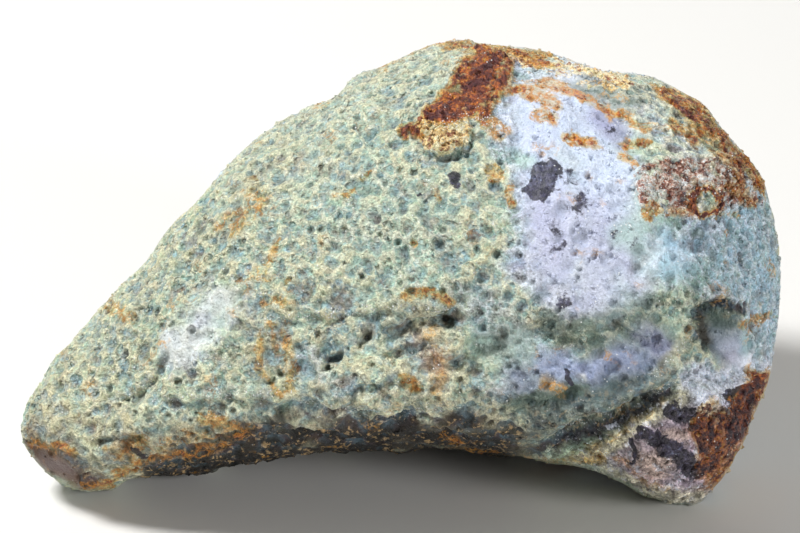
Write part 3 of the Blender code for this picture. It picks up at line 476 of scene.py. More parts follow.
# Broad colours of the front, one painted over the other: colour, strength, half width and course. Some, as
# marked below, are painted shade and painted light.
TINTS = (
    ("mint", 0.55, 5.5, ((-6.0, 7.7), (0.0, 3.4), (1.7, -2.6))),
    ("pale", 0.5, 3.6, ((-12.9, 6.9), (-6.0, 12.9), (2.5, 17.6))),
    ("straw", 0.4, 4.0, ((-29.0, -11.5), (-24.5, -12.0), (-20.6, -12.5))),
    ("tan_green", 0.9, 3.2, ((-30.0, -14.5), (-25.7, -15.4), (-20.6, -13.7))),
    ("tan_green", 0.4, 1.6, ((-29.1, -10.7), (-24.0, -4.7), (-16.3, 3.0), (-8.6, 10.3))),
    ("fern", 0.4, 2.6, ((-21.4, -6.0), (-18.0, -0.8), (-13.7, 2.6))),
    ("milk", 0.8, 1.5, ((-18.9, -6.4), (-16.7, -4.7), (-15.0, -2.8))),
    ("lavender", 0.3, 0.5, ((-17.3, -4.5), (-16.6, -4.1))),
    ("fern", 0.4, 2.4, ((-14.2, -5.5), (-12.9, -9.4))),
    ("mint", 0.6, 2.0, ((-20.6, -11.3), (-12.9, -11.8))),
    ("tan_green", 0.5, 1.8, ((-11.6, -5.1), (-10.7, -10.3), (-6.0, -10.7))),
    # Painted light: a pale band across the lower front, standing in for light that its form turns away
    # from.
    ("pale", 0.6, 0.9, ((-14.6, -12.4), (-6.0, -12.6), (2.5, -12.9), (8.5, -12.6))),
    # Painted shade: brown and then deep strokes along the bottom edge, where the front turns under.
    ("olive_brown", 0.7, 0.8, ((-21.4, -15.6), (-14.6, -13.6), (-6.0, -13.9), (2.5, -13.9), (10.2, -14.7))),
    ("deep", 1.0, 1.3, ((-18.0, -17.0), (-12.9, -15.7), (-6.0, -15.1), (1.7, -15.0), (10.2, -15.8))),
    # Painted shadow: a thin dark line in the clefts of the lower front.
    ("deep", 0.8, 0.35, (
        (-13.5, -12.9), (-9.0, -12.2), (-5.5, -13.1), (-1.0, -12.9), (4.0, -13.0), (8.0, -13.9),
    )),
    ("steel", 0.5, 1.5, ((-7.7, -7.0), (-4.8, -9.6))),
    # Painted shade: dark teal in the deep pit of the lower front.
    ("teal_dark", 0.8, 0.9, ((-6.4, -12.8), (-5.2, -12.8))),
    ("tan", 0.5, 1.6, ((0.0, -4.7), (3.4, -4.7), (2.5, -7.7))),
    ("blush", 0.8, 1.2, ((2.1, -6.0), (3.4, -7.2), (3.0, -9.6))),
    ("tan_green", 0.7, 1.5, ((1.7, -11.3), (5.9, -12.8), (8.5, -13.7))),
    ("pinkish", 0.3, 1.3, ((-5.2, 8.1), (-4.3, 8.6))),
    ("blue_white", 0.95, 2.6, ((10.9, 15.0), (10.9, 10.3), (11.9, 4.7))),
    ("blue_white", 0.9, 3.2, ((14.9, 15.0), (17.1, 9.0), (17.1, 4.7))),
    ("mint", 0.8, 0.9, ((8.2, 9.8), (10.4, 9.4))),
    ("mint", 0.7, 0.8, ((8.0, 4.6), (10.6, 4.0))),
    ("mint", 0.7, 0.7, ((8.4, 0.6), (11.2, 0.9), (13.2, -0.6))),
    ("lavender", 0.5, 0.7, ((11.4, 6.4), (12.8, 2.2))),
    ("mint", 0.5, 0.8, ((14.4, 1.0), (16.2, 3.6))),
    ("lilac_white", 0.9, 3.2, ((13.2, 3.0), (17.9, 2.2), (17.1, -1.7))),
    ("lilac_white", 0.8, 2.2, ((11.5, 1.7), (12.8, -2.6))),
    ("milk", 0.45, 1.6, ((13.7, 16.7), (18.8, 15.0), (21.8, 13.3), (25.6, 9.4))),
    ("mint", 0.6, 2.2, ((20.5, 3.0), (25.6, 1.7))),
    ("blue_white", 0.5, 1.5, ((21.8, 1.7), (25.6, 3.0))),
    ("aqua", 0.95, 3.0, ((29.5, 4.7), (30.8, 0.0), (31.5, -5.5))),
    ("aqua", 0.8, 2.6, ((24.0, 1.3), (28.6, 0.4))),
    ("fern", 0.6, 2.4, ((18.8, -4.3), (23.9, -5.5))),
    ("mint", 0.5, 1.6, ((24.8, -1.3), (24.8, -5.1))),
    ("teal_grey", 0.7, 2.2, ((6.8, -2.6), (8.5, -6.8), (10.2, -9.4))),
    ("dark_green", 0.75, 1.6, ((12.4, -4.4), (16.2, -5.5), (20.5, -4.1))),
    ("slate", 0.9, 2.1, ((10.2, -9.8), (16.2, -9.0), (21.4, -6.4))),
    ("periwinkle", 0.7, 1.2, ((12.4, -7.3), (16.2, -8.7), (19.6, -7.9))),
    ("slate", 0.6, 0.8, ((17.0, -9.2), (21.0, -7.6))),
    ("lavender", 0.5, 0.9, ((20.5, -4.7), (21.8, -6.4))),
    ("tan", 0.5, 0.6, ((12.4, -9.4), (13.7, -10.3))),
    ("milk", 0.8, 0.35, ((15.4, -9.1),)),
    # Painted shadow: dark green under the edge of a ledge.
    ("dark_green", 0.8, 0.9, ((9.4, -11.5), (12.8, -10.9), (15.7, -10.0))),
    ("olive_brown", 0.5, 0.9, ((3.4, -12.8), (8.5, -14.5), (13.7, -13.2))),
    # Painted shadow: a thin dark line in the groove over the broken face.
    ("teal_dark", 0.6, 0.5, ((12.4, -14.7), (15.5, -13.0), (19.0, -11.9), (22.0, -9.9))),
    ("tan_green", 0.7, 0.6, ((21.6, -8.6), (23.2, -7.0), (24.5, -5.7))),
    ("dark_green", 0.65, 1.3, ((15.8, 15.6), (20.8, 14.2))),
    ("lavender", 0.75, 0.8, ((16.4, 13.0), (19.0, 11.3))),
    ("teal_grey", 0.8, 1.0, ((29.5, -5.1), (30.3, -6.8), (29.6, -8.6))),
    ("slate", 0.8, 1.5, ((26.9, -5.4), (27.8, -7.2))),
    ("lilac_white", 0.45, 0.8, ((27.6, -6.6), (28.6, -7.6))),
    # Painted shade: the upper and left walls of the deep hollow, dark where the light doesn't reach.
    ("ink_dark", 1.0, 0.9, ((26.0, -2.9), (27.5, -2.7), (28.3, -3.3))),
    ("teal_dark", 0.9, 0.6, ((25.2, -3.6), (25.3, -5.5), (25.8, -6.6))),
    ("dark_green", 0.7, 0.9, ((26.2, -4.0), (28.0, -4.4))),
    ("deep", 0.95, 0.5, ((25.3, -3.2), (25.6, -5.0), (26.0, -6.2))),
    ("quartz", 1.0, 3.8, ((21.4, -15.4), (25.6, -14.5), (28.6, -12.8), (25.6, -18.0))),
    ("rose", 0.8, 1.6, ((26.1, -13.7), (28.8, -13.4), (27.8, -15.4), (26.9, -18.0))),
    ("rind", 1.0, 1.3, ((24.5, -9.3), (26.7, -10.3), (29.1, -9.5), (32.0, -7.9))),
    ("rind", 1.0, 1.3, ((25.6, -10.4), (26.2, -11.5))),
    ("pinkish", 0.8, 1.1, ((20.5, -15.6), (21.8, -16.4))),
    ("pinkish", 0.7, 0.7, ((22.9, -13.8), (23.9, -14.2))),
    # Painted shade: the lip over the broken face, which slopes down and away from the light.
    ("teal_dark", 0.95, 1.5, ((11.5, -13.2), (16.8, -11.4), (21.6, -9.3))),
    ("cream", 0.9, 0.75, ((14.9, -16.3), (17.6, -15.0), (19.5, -13.3), (22.0, -11.9), (23.6, -10.6))),
    # Painted shadow: dark green and near-black in the groove under the lip.
    ("dark_green", 0.9, 0.9, ((10.2, -15.4), (13.5, -14.3), (17.4, -12.9), (20.3, -11.5), (22.8, -10.1))),
    ("ink_dark", 0.95, 0.5, ((11.5, -15.4), (14.0, -14.3), (17.4, -13.1), (20.3, -11.7), (22.6, -10.3))),
    ("cream", 0.8, 0.6, ((17.5, -17.2), (20.5, -18.6), (23.1, -19.5), (25.6, -19.4))),
    ("brown", 1.0, 1.9, ((-31.2, -15.8), (-29.3, -16.6), (-27.8, -17.3))),
    ("umber", 0.7, 1.7, ((-31.2, -15.6), (-29.3, -16.4), (-27.8, -17.1))),
    ("plum_grey", 0.3, 0.7, ((-30.4, -16.2), (-28.6, -16.9))),
    ("plum_grey", 0.55, 1.1, ((-23.6, -15.2), (-21.9, -16.1))),
)
# Stains and specks of the front, each a value that the material turns into colour: for each mark its
# strengths, half widths and courses.
MARKS = {
    "iron": (
        (1.4, 0.5, ((2.8, 13.1), (4.0, 13.7))),
        (1.4, 0.55, ((5.4, 15.3), (6.8, 16.5), (8.4, 18.0))),
        (1.0, 0.55, ((0.2, 11.7), (1.5, 11.7))),
        (0.8, 0.8, ((5.1, 19.2), (7.0, 19.4), (8.8, 18.7))),
        (0.7, 0.4, ((11.1, 17.8), (12.5, 17.5))),
        (0.75, 0.6, ((9.5, 15.6), (11.3, 15.3), (12.9, 14.3))),
        (0.65, 0.8, ((6.8, 13.5), (8.5, 12.2))),
        (0.95, 0.9, ((22.9, 15.4), (24.6, 14.3), (25.9, 13.0))),
        (0.6, 0.6, ((26.9, 10.3), (29.1, 6.4))),
        (0.7, 0.5, ((27.5, 6.9), (29.9, 5.6))),
        (0.65, 0.5, ((11.1, 13.4), (13.1, 13.0))),
        (0.75, 0.45, ((13.9, 11.5), (15.2, 11.0), (16.7, 10.5))),
        (0.8, 0.5, ((12.4, 15.9), (14.7, 15.2), (16.4, 14.3), (17.8, 13.2))),
        (0.6, 0.3, ((15.2, 14.6), (16.2, 14.2))),
        (0.7, 0.4, ((17.4, 13.7), (18.6, 13.2), (21.0, 11.9))),
        (0.95, 0.45, ((19.6, 10.8), (20.8, 10.4))),
        (0.55, 0.4, ((18.8, 9.9), (19.8, 8.9))),
        (0.75, 0.7, ((23.4, 12.2), (25.0, 11.2))),
        (0.7, 0.5, ((25.6, 12.2), (26.7, 11.0))),
        (0.6, 0.3, ((7.2, 8.1), (8.3, 7.9))),
        (0.65, 0.3, ((9.2, 6.7), (9.5, 5.4))),
        (0.5, 0.35, ((20.5, 5.0), (24.8, 4.6), (28.6, 4.6))),
        (0.55, 0.3, ((-10.2, 2.6), (-11.0, 0.7), (-11.3, -0.7))),
        (0.6, 0.4, ((-11.5, -2.6), (-10.0, -2.7))),
        (0.5, 0.3, ((-12.2, -6.8), (-11.3, -4.4), (-10.2, -7.0))),
        (0.5, 0.35, ((-11.9, -6.4), (-11.7, -9.0), (-10.1, -10.7))),
        (0.45, 0.5, ((-9.9, -5.1), (-8.9, -7.7), (-9.5, -10.3))),
        (0.7, 0.16, ((-3.3, 7.6), (-2.5, 8.4))),
        (0.7, 0.16, ((-5.9, 6.3), (-4.9, 6.4), (-3.9, 6.7))),
        (0.75, 0.4, ((1.1, 2.3),)),
        (0.7, 0.3, ((-9.7, -0.8),)),
        (0.6, 0.3, ((3.2, 5.9),)),
        (0.75, 0.45, ((0.6, -2.3), (2.5, -2.0), (4.1, -2.7))),
        (0.35, 0.9, ((2.4, -5.5), (3.4, -7.0), (3.0, -9.8))),
        (0.55, 0.5, ((0.4, -9.2), (1.3, -9.7))),
        (0.6, 0.5, ((3.8, -14.3), (4.9, -14.6))),
        (0.62, 0.45, ((-24.2, -17.4), (-21.4, -15.9), (-18.0, -15.8), (-12.9, -13.8))),
        (0.3, 0.6, ((-24.5, -15.4), (-19.0, -14.6), (-12.0, -13.4))),
        (0.85, 0.8, ((4.0, 19.4), (8.5, 19.1), (12.0, 18.2))),
        (0.95, 0.9, ((23.6, 14.9), (26.3, 13.2), (28.6, 10.4), (30.6, 7.4))),
        (0.7, 0.5, ((-27.0, -18.3), (-25.0, -18.3))),
        (0.62, 0.45, ((-31.4, -14.8), (-29.5, -15.0), (-27.8, -15.4))),
        (0.6, 0.7, ((-16.7, -12.7), (-14.2, -13.2))),
        (0.62, 0.5, ((11.1, -16.4), (14.5, -16.6), (17.1, -15.9))),
        (0.42, 0.4, ((14.5, -15.6), (17.5, -14.2), (19.5, -12.9), (22.2, -11.2))),
        (1.0, 1.7, ((26.6, -13.0), (27.6, -15.2), (26.7, -17.0))),
        (1.3, 1.4, ((28.4, -13.2), (30.4, -10.8), (31.4, -9.6))),
        (1.1, 0.4, ((26.7, -17.6),)),
        (0.45, 0.5, ((18.7, -15.9), (20.0, -17.4), (22.4, -18.6))),
        (0.55, 0.6, ((12.4, -9.6), (13.8, -10.4))),
        (0.6, 0.4, ((28.9, -4.9), (31.5, -3.8))),
        (0.6, 0.25, ((27.7, 3.0),)),
        (0.5, 0.8, ((-23.2, -15.8), (-22.3, -14.5))),
        (0.4, 1.0, ((-14.6, 3.9), (-11.9, 6.4))),
        (0.4, 0.8, ((-24.9, -2.6), (-23.2, -4.3))),
    ),
    "tan": (
        (0.75, 0.9, ((8.9, 18.4), (11.1, 18.0), (14.5, 17.3), (19.2, 16.1))),
    ),
    "rust": (
        (0.7, 1.1, ((26.0, 13.9), (27.5, 11.6), (29.1, 9.0), (30.1, 6.0))),
    ),
    "ink": (
        (1.0, 0.75, ((23.2, -11.9), (25.8, -13.2))),
        (0.95, 0.65, ((20.6, -13.6), (22.6, -14.7))),
        (0.95, 1.0, ((22.7, -15.4), (24.8, -16.8))),
        (0.95, 0.3, ((19.6, -14.4), (19.6, -16.1))),
        (0.85, 0.7, ((27.8, -10.7), (30.3, -10.1))),
        (1.0, 0.4, ((29.7, -11.8),)),
        (0.6, 0.5, ((26.4, -12.3), (27.6, -11.6))),
        (0.5, 0.8, ((15.1, 5.8), (15.8, 5.5))),
        (0.5, 0.4, ((12.3, 4.7),)),
        (0.48, 0.7, ((13.1, 3.6), (13.1, 2.4))),
        (0.48, 0.8, ((18.4, 2.6), (19.2, 2.2))),
        (0.42, 1.0, ((14.0, 7.6), (15.0, 4.0))),
        (0.9, 0.12, ((16.0, 7.7),)),
        (0.9, 0.12, ((16.3, 9.6),)),
        (0.8, 0.5, ((4.8, 8.2), (4.8, 7.4))),
        (0.8, 0.3, ((1.6, 6.3),)),
        (0.6, 0.25, ((17.1, 12.0), (18.1, 11.8))),
        (1.0, 0.3, ((14.2, -8.4), (14.3, -9.6))),
        (0.55, 0.5, ((13.7, -1.7), (13.7, -2.7))),
        (0.8, 0.3, ((-22.6, -15.3), (-21.8, -15.8))),
    ),
    "bare": (
        (1.0, 1.6, ((11.2, 15.0), (11.9, 11.4), (11.0, 8.6), (12.6, 5.4), (11.9, 2.4), (12.8, -0.4))),
        (1.0, 3.2, ((14.9, 14.6), (17.1, 10.3), (17.5, 6.0), (17.1, 1.7))),
        (0.9, 2.4, ((12.4, 0.0), (15.4, -2.6), (20.5, 0.0), (22.6, 3.9))),
        (0.8, 1.6, ((17.1, 14.1), (21.4, 12.0), (24.8, 10.3))),
        (0.45, 2.2, ((11.1, -8.7), (16.2, -9.2), (21.4, -6.8))),
        (0.7, 1.5, ((24.8, 3.0), (26.9, 3.9))),
        (0.9, 1.9, ((-19.0, -6.7), (-16.7, -4.7), (-14.8, -2.6))),
    ),
    "moss": (
        (0.8, 1.2, ((12.4, -4.4), (16.2, -5.6))),
        (0.6, 1.0, ((6.8, -6.4), (9.4, -7.7))),
        # This course runs under the same ledge: its dark green is partly moss stain and partly painted
        # ledge shadow.
        (0.7, 0.9, ((9.4, -11.5), (15.7, -10.0))),
        (0.5, 0.8, ((24.8, 3.3), (25.9, 2.3))),
        (0.55, 1.0, ((16.6, 15.6), (20.5, 14.2))),
        (0.5, 1.5, ((20.5, -2.6), (25.6, -1.7))),
    ),
    "frost": (
        (0.8, 0.35, ((-11.6, -4.3), (-4.8, -3.6), (0.0, -3.2), (5.9, -3.2))),
        (0.7, 0.35, (
            (-21.4, -10.9), (-16.3, -10.7), (-9.5, -10.6), (-6.9, -11.3), (0.0, -12.1), (3.4, -11.5),
        )),
        (0.5, 0.4, ((-24.7, -11.5), (-21.4, -9.1), (-19.6, -6.7))),
        (0.7, 0.35, ((12.5, -15.0), (14.3, -13.2), (17.2, -12.6), (20.4, -10.9), (24.1, -8.9))),
        (0.6, 0.4, ((21.6, -8.6), (24.5, -5.6))),
        (0.7, 0.8, ((4.7, 12.2), (8.5, 13.0))),
        (0.5, 1.6, ((21.4, 6.4), (26.5, 6.9))),
        (0.6, 0.6, ((17.9, 3.4), (19.6, 3.9))),
        (0.5, 0.6, ((2.5, 9.0), (3.0, 7.0))),
    ),
}
# Rings of stain round single pits: mark, strength, U, V, radius, half width.
RINGS = (
    ("iron", 1.0, 12.7, 12.6, 0.42, 0.16),
    ("iron", 1.0, 14.5, 11.2, 0.62, 0.2),
    ("iron", 1.3, 25.8, 5.8, 1.25, 0.3),
    ("iron", 0.8, 21.1, 5.1, 0.65, 0.25),
    ("iron", 0.7, 7.9, 8.1, 0.6, 0.2),
)
# A ring fades out between these shares of its half width.
RING_EDGE = (0.3, 1.3)
# The pale knob in the rust crust: its middle and half width.
PALE_KNOB = ((25.8, 5.8), 0.9)
# The white rind between the skin and the broken face: its course, half width, and how whole and bare it is.
RIND = ((24.3, -9.1), (26.7, -10.1), (29.1, -9.4), (32.5, -7.7))
RIND_HALF_WIDTH, RIND_WHOLE, RIND_BARE = 0.85, 0.9, 0.4
# How far the courses of colour wander: fine drift and its sizes, and the sway of the wide ones by a share
# of their half width.
DRIFT, SWAY, SWAY_SIZE, WIDEST = ((0.28, 0.9), (0.14, 0.4)), 0.6, 2.6, 2.6
DRIFT_SEEDS, SWAY_SEEDS = (61, 62), (69, 70)
# Patches of ground tone and, behind, of iron and manganese: size and seed, in pairs of wide and fine.
PATCHES = ((11.0, 63), (4.5, 64), (7.0, 65), (2.5, 66), (3.0, 67), (1.2, 68))
FINE_PATCH = 0.4
# Where each kind of patch sets in, and how strong it gets.
PALE_PATCHES, TAN_PATCHES, FERN_PATCHES, GROUND_TONE = (0, 0.8), (0.1, 0.8), (0.1, 0.6), 0.5
CHALKY_PATCHES, CHALKY_TONE = (-0.05, 0.35), 0.8
RUSTED_PATCHES, BACK_IRON, INKED_PATCHES, BACK_INK = (0.25, 0.75), 0.9, (0.62, 0.95), 0.8
# All the marks, and those that fill an outline: mark, strength and outline.
MARK_NAMES = ("iron", "ink", "moss", "frost", "tan", "rust", "bare", "broken", "painted", "plain")
MARK_ZONES = (
    ("iron", 1.0, MAROON_LENS),
    ("ink", 1.7, INDIGO_SPOT),
    ("tan", 1.0, TAN_CRUST),
    ("rust", 0.72, RUST_CRUST),
    ("broken", 1.0, BROKEN_FACE),
)
# How far in and out of an outline its mark blurs.
ZONE_BLUR = 0.5
# The belly is painted dark, as shade where the ground turns down: where along the stone that begins and
# ends, and how far the ground turns down there.
BELLY_START, BELLY_END = (-26.0, -20.0), (8.0, 13.0)
BELLY_DOWN = (0.55, 0.9)
# Its painted shade begins a little lower, with a ragged edge, and goes from brown to deep brown to nearly
# black.
BELLY_SHADE_LOWER, BELLY_SHADE_RAGGED, BELLY_SHADE_GROWTH = 0.1, 0.3, 1.5
BELLY_SHADE_BROWN, BELLY_SHADE_DEEP, BELLY_SHADE_BLACK = 0.9, 0.95, 0.8
# The shade painted under the ledges: how dark, and from how near to how far it fades.
LEDGE_DARK, LEDGE_DARK_FAR = 0.6, (0.05, 0.55)
# How squarely the surface faces forward where the paint of the front sets in.
FRONT_WRAP = (-0.12, 0.25)
# Grains: the mark that they gather on, how many, least and most size.
CRUMBS = (
    ("tan", 700, (0.15, 0.5)),
    ("rust", 900, (0.18, 0.6)),
    ("iron", 900, (0.14, 0.4)),
    ("broken", 700, (0.2, 0.7)),
    ("bare", 700, (0.14, 0.4)),
    ("plain", 2500, (0.14, 0.4)),
)
CRUMB_UNEVEN = 0.3
CRYSTALS = (
    ("frost", 700, (0.07, 0.18)),
    ("broken", 220, (0.08, 0.2)),
    ("rust", 80, (0.1, 0.2)),
    ("plain", 200, (0.07, 0.14)),
)
# What the grains take over from the skin under them.
PAINTED = (
    "tint", "pit", "dip", "basin", "smooth", "bare", "broken", "painted", "moss", "tan", "rust", "ink",
    "iron", "frost",
)
# How far a grain's middle stands out of the skin, as a share of its size.
GRAIN_PROUD = -0.05


def smoothstep(low, high, value):
    t = np.clip((value - low) / (high - low), 0, 1)
    return t * t * (3 - 2 * t)


def curve(at, knots, values):
    """Read a smooth curve through the values at the knots."""
    slopes = np.gradient(values, knots)
    i = np.clip(np.searchsorted(knots, at) - 1, 0, len(knots) - 2)
    width = knots[i + 1] - knots[i]
    t = (at - knots[i]) / width
    start = (1 + 2 * t) * (1 - t) ** 2 * values[i] + t * (1 - t) ** 2 * width * slopes[i]
    end = t * t * (3 - 2 * t) * values[i + 1] - t * t * (1 - t) * width * slopes[i + 1]
    return start + end


def turn(u):
    """How far along the stone a place is, counted so that both ends come out round."""
    return np.arccos(np.clip(1 - 2 * (np.asarray(u) - LEFT_TIP) / LENGTH, -1, 1)) / pi


def softened(values, at, width):
    """The values with wobbles shorter than the width smoothed away, and both ends kept."""
    weight = np.exp(-(((at[:, None] - at[None, :]) / width) ** 2))
    soft = weight @ values / weight.sum(axis=1)
    kept = smoothstep(0, TIP_HOLD * width, at) * smoothstep(0, TIP_HOLD * width, 1 - at)
    return values + (soft - values) * kept


def ring(corners, roundness, columns):
    """One closed ring through its top, front, bottom and back corners, as evenly spaced (V, W) points."""
    angle = np.linspace(0, pi / 2, QUARTER_STEPS)[:, None]
    pieces = []
    for side, (start, end) in enumerate(zip(corners, corners[1:] + corners[:1])):
        fall = np.cos(angle) ** (2 / roundness[side])
        left = 1 - np.sin(angle) ** (2 / roundness[side])
        share = np.hstack([fall, left] if side % 2 == 0 else [left, fall])
        pieces.append((np.array(end) + (np.array(start) - np.array(end)) * share)[:-1])
    loop = np.concatenate(pieces + [pieces[0][:1]])
    steps = np.hypot(*np.diff(loop, axis=0).T) + 1e-9
    walked = np.concatenate([[0], np.cumsum(steps)])
    wanted = np.linspace(0, walked[-1], columns + 1)[:-1]
    return np.stack([np.interp(wanted, walked, loop[:, 0]), np.interp(wanted, walked, loop[:, 1])], axis=1)


def plain_form(rows, columns):
    """The stone without its relief: rings of points from the left tip to the right end."""
    at = np.linspace(0, 1, rows)
    edge_top, edge_bottom, depths = np.array(TOP_EDGE), np.array(BOTTOM_EDGE), np.array(DEPTHS)
    top = curve(at, turn(edge_top[:, 0]), edge_top[:, 1])
    bottom = curve(at, turn(edge_bottom[:, 0]), edge_bottom[:, 1])
    soft_top, soft_bottom = softened(top, at, EDGE_WOBBLE), softened(bottom, at, EDGE_WOBBLE)
    front_v, front_w, back_v, back_w, top_w, bottom_w, lower_back = (
        curve(at, turn(depths[:, 0]), depths[:, column]) for column in range(1, 8)
    )
    front_v = np.clip(front_v, soft_bottom, soft_top)
    back_v = np.clip(back_v, soft_bottom, soft_top)
    grid = np.empty((rows, columns, 3))
    grid[:, :, 0] = (LEFT_TIP + LENGTH * (1 - np.cos(pi * at)) / 2)[:, None]
    for row in range(rows):
        corners = [
            (soft_top[row], top_w[row]),
            (front_v[row], front_w[row]),
            (soft_bottom[row], bottom_w[row]),
            (back_v[row], back_w[row]),
        ]
        roundness = (UPPER_FRONT, LOWER_FRONT, lower_back[row], UPPER_BACK)
        grid[row, :, 1:] = ring(corners, roundness, columns)
    middle = ((soft_top + soft_bottom) / 2)[:, None]
    half = ((soft_top - soft_bottom) / 2 + 1e-6)[:, None]
    height = (grid[:, :, 1] - middle) / half
    for edge, soft, edge_w, side in ((top, soft_top, top_w, 1), (bottom, soft_bottom, bottom_w, -1)):
        off_edge = (grid[:, :, 2] - edge_w[:, None]) / EDGE_REACH
        near = np.exp(-(off_edge**2)) * smoothstep(0, EDGE_BAND, side * height)
        grid[:, :, 1] += (edge - soft)[:, None] * near
    return grid


def normals_of(grid):
    along = np.gradient(grid, axis=0)
    around = np.roll(grid, -1, axis=1) - np.roll(grid, 1, axis=1)
    normal = np.cross(around, along)
    length = np.linalg.norm(normal, axis=2, keepdims=True)
    normal = normal / np.maximum(length, 1e-12)
    normal[0] = (-1, 0, 0)
    normal[-1] = (1, 0, 0)
    return normal


def noise(points, size, seed):
    """Smooth noise from -1 to 1 with lumps of the given size."""
    lattice = np.random.default_rng(seed).uniform(-1, 1, (NOISE_PERIOD,) * 3)
    cell = points / size
    base = np.floor(cell).astype(int)
    part = cell - base
    part = part * part * part * (part * (part * 6 - 15) + 10)
    total = np.zeros(points.shape[:-1])
    for corner in np.ndindex(2, 2, 2):
        weight = np.prod(np.where(corner, part, 1 - part), axis=-1)
        index = (base + corner) % NOISE_PERIOD
        total += weight * lattice[index[..., 0], index[..., 1], index[..., 2]]
    return total


def line_distance(u, v, line):
    """Distance from a line of points, which side of it a place is on (below is 1), and how far along."""
    line = np.array(line, float)
    legs = np.diff(line, axis=0)
    lengths = np.hypot(legs[:, 0], legs[:, 1])
    starts = np.concatenate([[0], np.cumsum(lengths)])
    nearest = np.full(u.shape, np.inf)
    side = np.ones(u.shape)
    along = np.zeros(u.shape)
    for start, leg, length, walked in zip(line, legs, lengths, starts):
        t = np.clip(((u - start[0]) * leg[0] + (v - start[1]) * leg[1]) / length**2, 0, 1)
        du, dv = u - start[0] - t * leg[0], v - start[1] - t * leg[1]
        distance = np.hypot(du, dv)
        closer = distance < nearest
        nearest = np.where(closer, distance, nearest)
        side = np.where(closer, np.sign(leg[1] * du - leg[0] * dv), side)
        along = np.where(closer, (walked + t * length) / starts[-1], along)
    return nearest, side, along


def depth_inside(u, v, outline):
    """Distance in from the edge of an outline, negative outside it."""
    closed = tuple(outline) + (outline[0],)
    nearest = line_distance(u, v, closed)[0]
    inside = np.zeros(u.shape, bool)
    for (u0, v0), (u1, v1) in zip(closed, closed[1:]):
        crosses = (v0 > v) != (v1 > v)
        rise = v1 - v0 if v1 != v0 else 1e-9
        inside ^= crosses & (u < u0 + (v - v0) * (u1 - u0) / rise)
    return np.where(inside, nearest, -nearest)


def ends_fade(along):
    """One along the middle of a line, and down to nothing at both its ends."""
    return smoothstep(0, LINE_FADE, along) * smoothstep(0, LINE_FADE, 1 - along)


def hollow_depth(grid):
    """How far the deep hollow goes in."""
    u, v = grid[..., 0], grid[..., 1]
    ragged, size, seed = HOLLOW_RAGGED
    inside = depth_inside(u, v, HOLLOW_EDGE) + ragged * noise(grid, size, seed)
    climb = (u - HOLLOW_RIM[0]) * HOLLOW_CLIMB[0] + (v - HOLLOW_RIM[1]) * HOLLOW_CLIMB[1]
    climb = smoothstep(0, HOLLOW_LENGTH, climb)
    wall = smoothstep(HOLLOW_STEP[0], HOLLOW_STEP[1] + HOLLOW_EASE * climb, inside)
    return HOLLOW_DEPTH * (1 - HOLLOW_RISE * climb) * wall


def front_relief(grid, normal):
    """The big forms that the front of the stone shows, as a height over the plain form."""
    ragged, size, seeds = LINE_RAGGED
    u, v = (grid[..., axis] + ragged * noise(grid, size, seed) for axis, seed in enumerate(seeds))
    height = np.zeros(u.shape)
    for at_u, at_v, half_width, half_height, rise in SWELLS:
        height += rise * np.exp(-(((u - at_u) / half_width) ** 2) - ((v - at_v) / half_height) ** 2)
    for line, drop, reach in LEDGES:
        distance, side, along = line_distance(u, v, line)
        back_up = (1 - smoothstep(LEDGE_STEP[1], reach, distance)) ** LEDGE_HOLLOWNESS
        height -= drop * ends_fade(along) * smoothstep(*LEDGE_STEP, distance * side) * back_up
    for line, rise, half_width in RIDGES:
        distance, side, along = line_distance(u, v, line)
        height += rise * ends_fade(along) * np.exp(-((distance / half_width) ** 2))
    face = depth_inside(u, v, BROKEN_FACE)
    height -= BREAK_DEPTH * smoothstep(0, BREAK_STEP, face) * (1 - smoothstep(*BREAK_FADE, face))
    distance, side, along = line_distance(u, v, BREAK_GROOVE)
    height -= GROOVE_DEPTH * ends_fade(along) * np.exp(-((distance / GROOVE_HALF_WIDTH) ** 2))
    height -= CHIP_DEPTH * smoothstep(0, CHIP_STEP, depth_inside(u, v, CHIP_FACE))
    facing = normal[..., 2]
    hollow = hollow_depth(grid) * smoothstep(*HOLLOW_FACING, facing)
    return height * smoothstep(*FRONT_FACING, facing) - hollow


def press_pits(grid, spots, depth, rim_rise, uneven=None):
    """Press pits in, each given as (row, column, width, depth). Where they overlap the deeper counts."""
    rows, columns = depth.shape
    row_step = np.linalg.norm(grid[1:] - grid[:-1], axis=2)
    column_step = np.linalg.norm(np.roll(grid, -1, axis=1) - grid, axis=2)
    for row, column, width, deep in spots:
        radius = width / 2
        reach = PIT_REACH * radius
        row_reach = int(reach / row_step[min(row, rows - 2), column]) + 1
        column_reach = min(int(reach / column_step[row, column]) + 1, columns // 2 - 1)
        window_rows = np.arange(max(row - row_reach, 1), min(row + row_reach + 1, rows - 1))
        window_columns = np.arange(column - column_reach, column + column_reach + 1) % columns
        window = np.ix_(window_rows, window_columns)
        away = np.linalg.norm(grid[window] - grid[row, column], axis=2) / radius
        if uneven is not None:
            away = away * (1 + uneven[window])
        bowl = deep * np.clip(1 - away**PIT_STEEPNESS, 0, 1)
        rim = -rim_rise * deep * np.exp(-(((away - RIM_PLACE) / RIM_HALF_WIDTH) ** 2))
        depth[window] = np.where(away < 1, np.maximum(depth[window], bowl), depth[window] + rim)
    return depth


def front_spots(grid, normal):
    """The grid places of the pits named in PITS."""
    u, v = grid[..., 0], grid[..., 1]
    hidden = np.where(normal[..., 2] > FRONT_PIT_FACING, 0, 1e6)
    for at_u, at_v, width, deep in PITS:
        nearest = np.argmin((u - at_u) ** 2 + (v - at_v) ** 2 + hidden)
        row, column = np.unravel_index(nearest, u.shape)
        yield row, column, width, deep


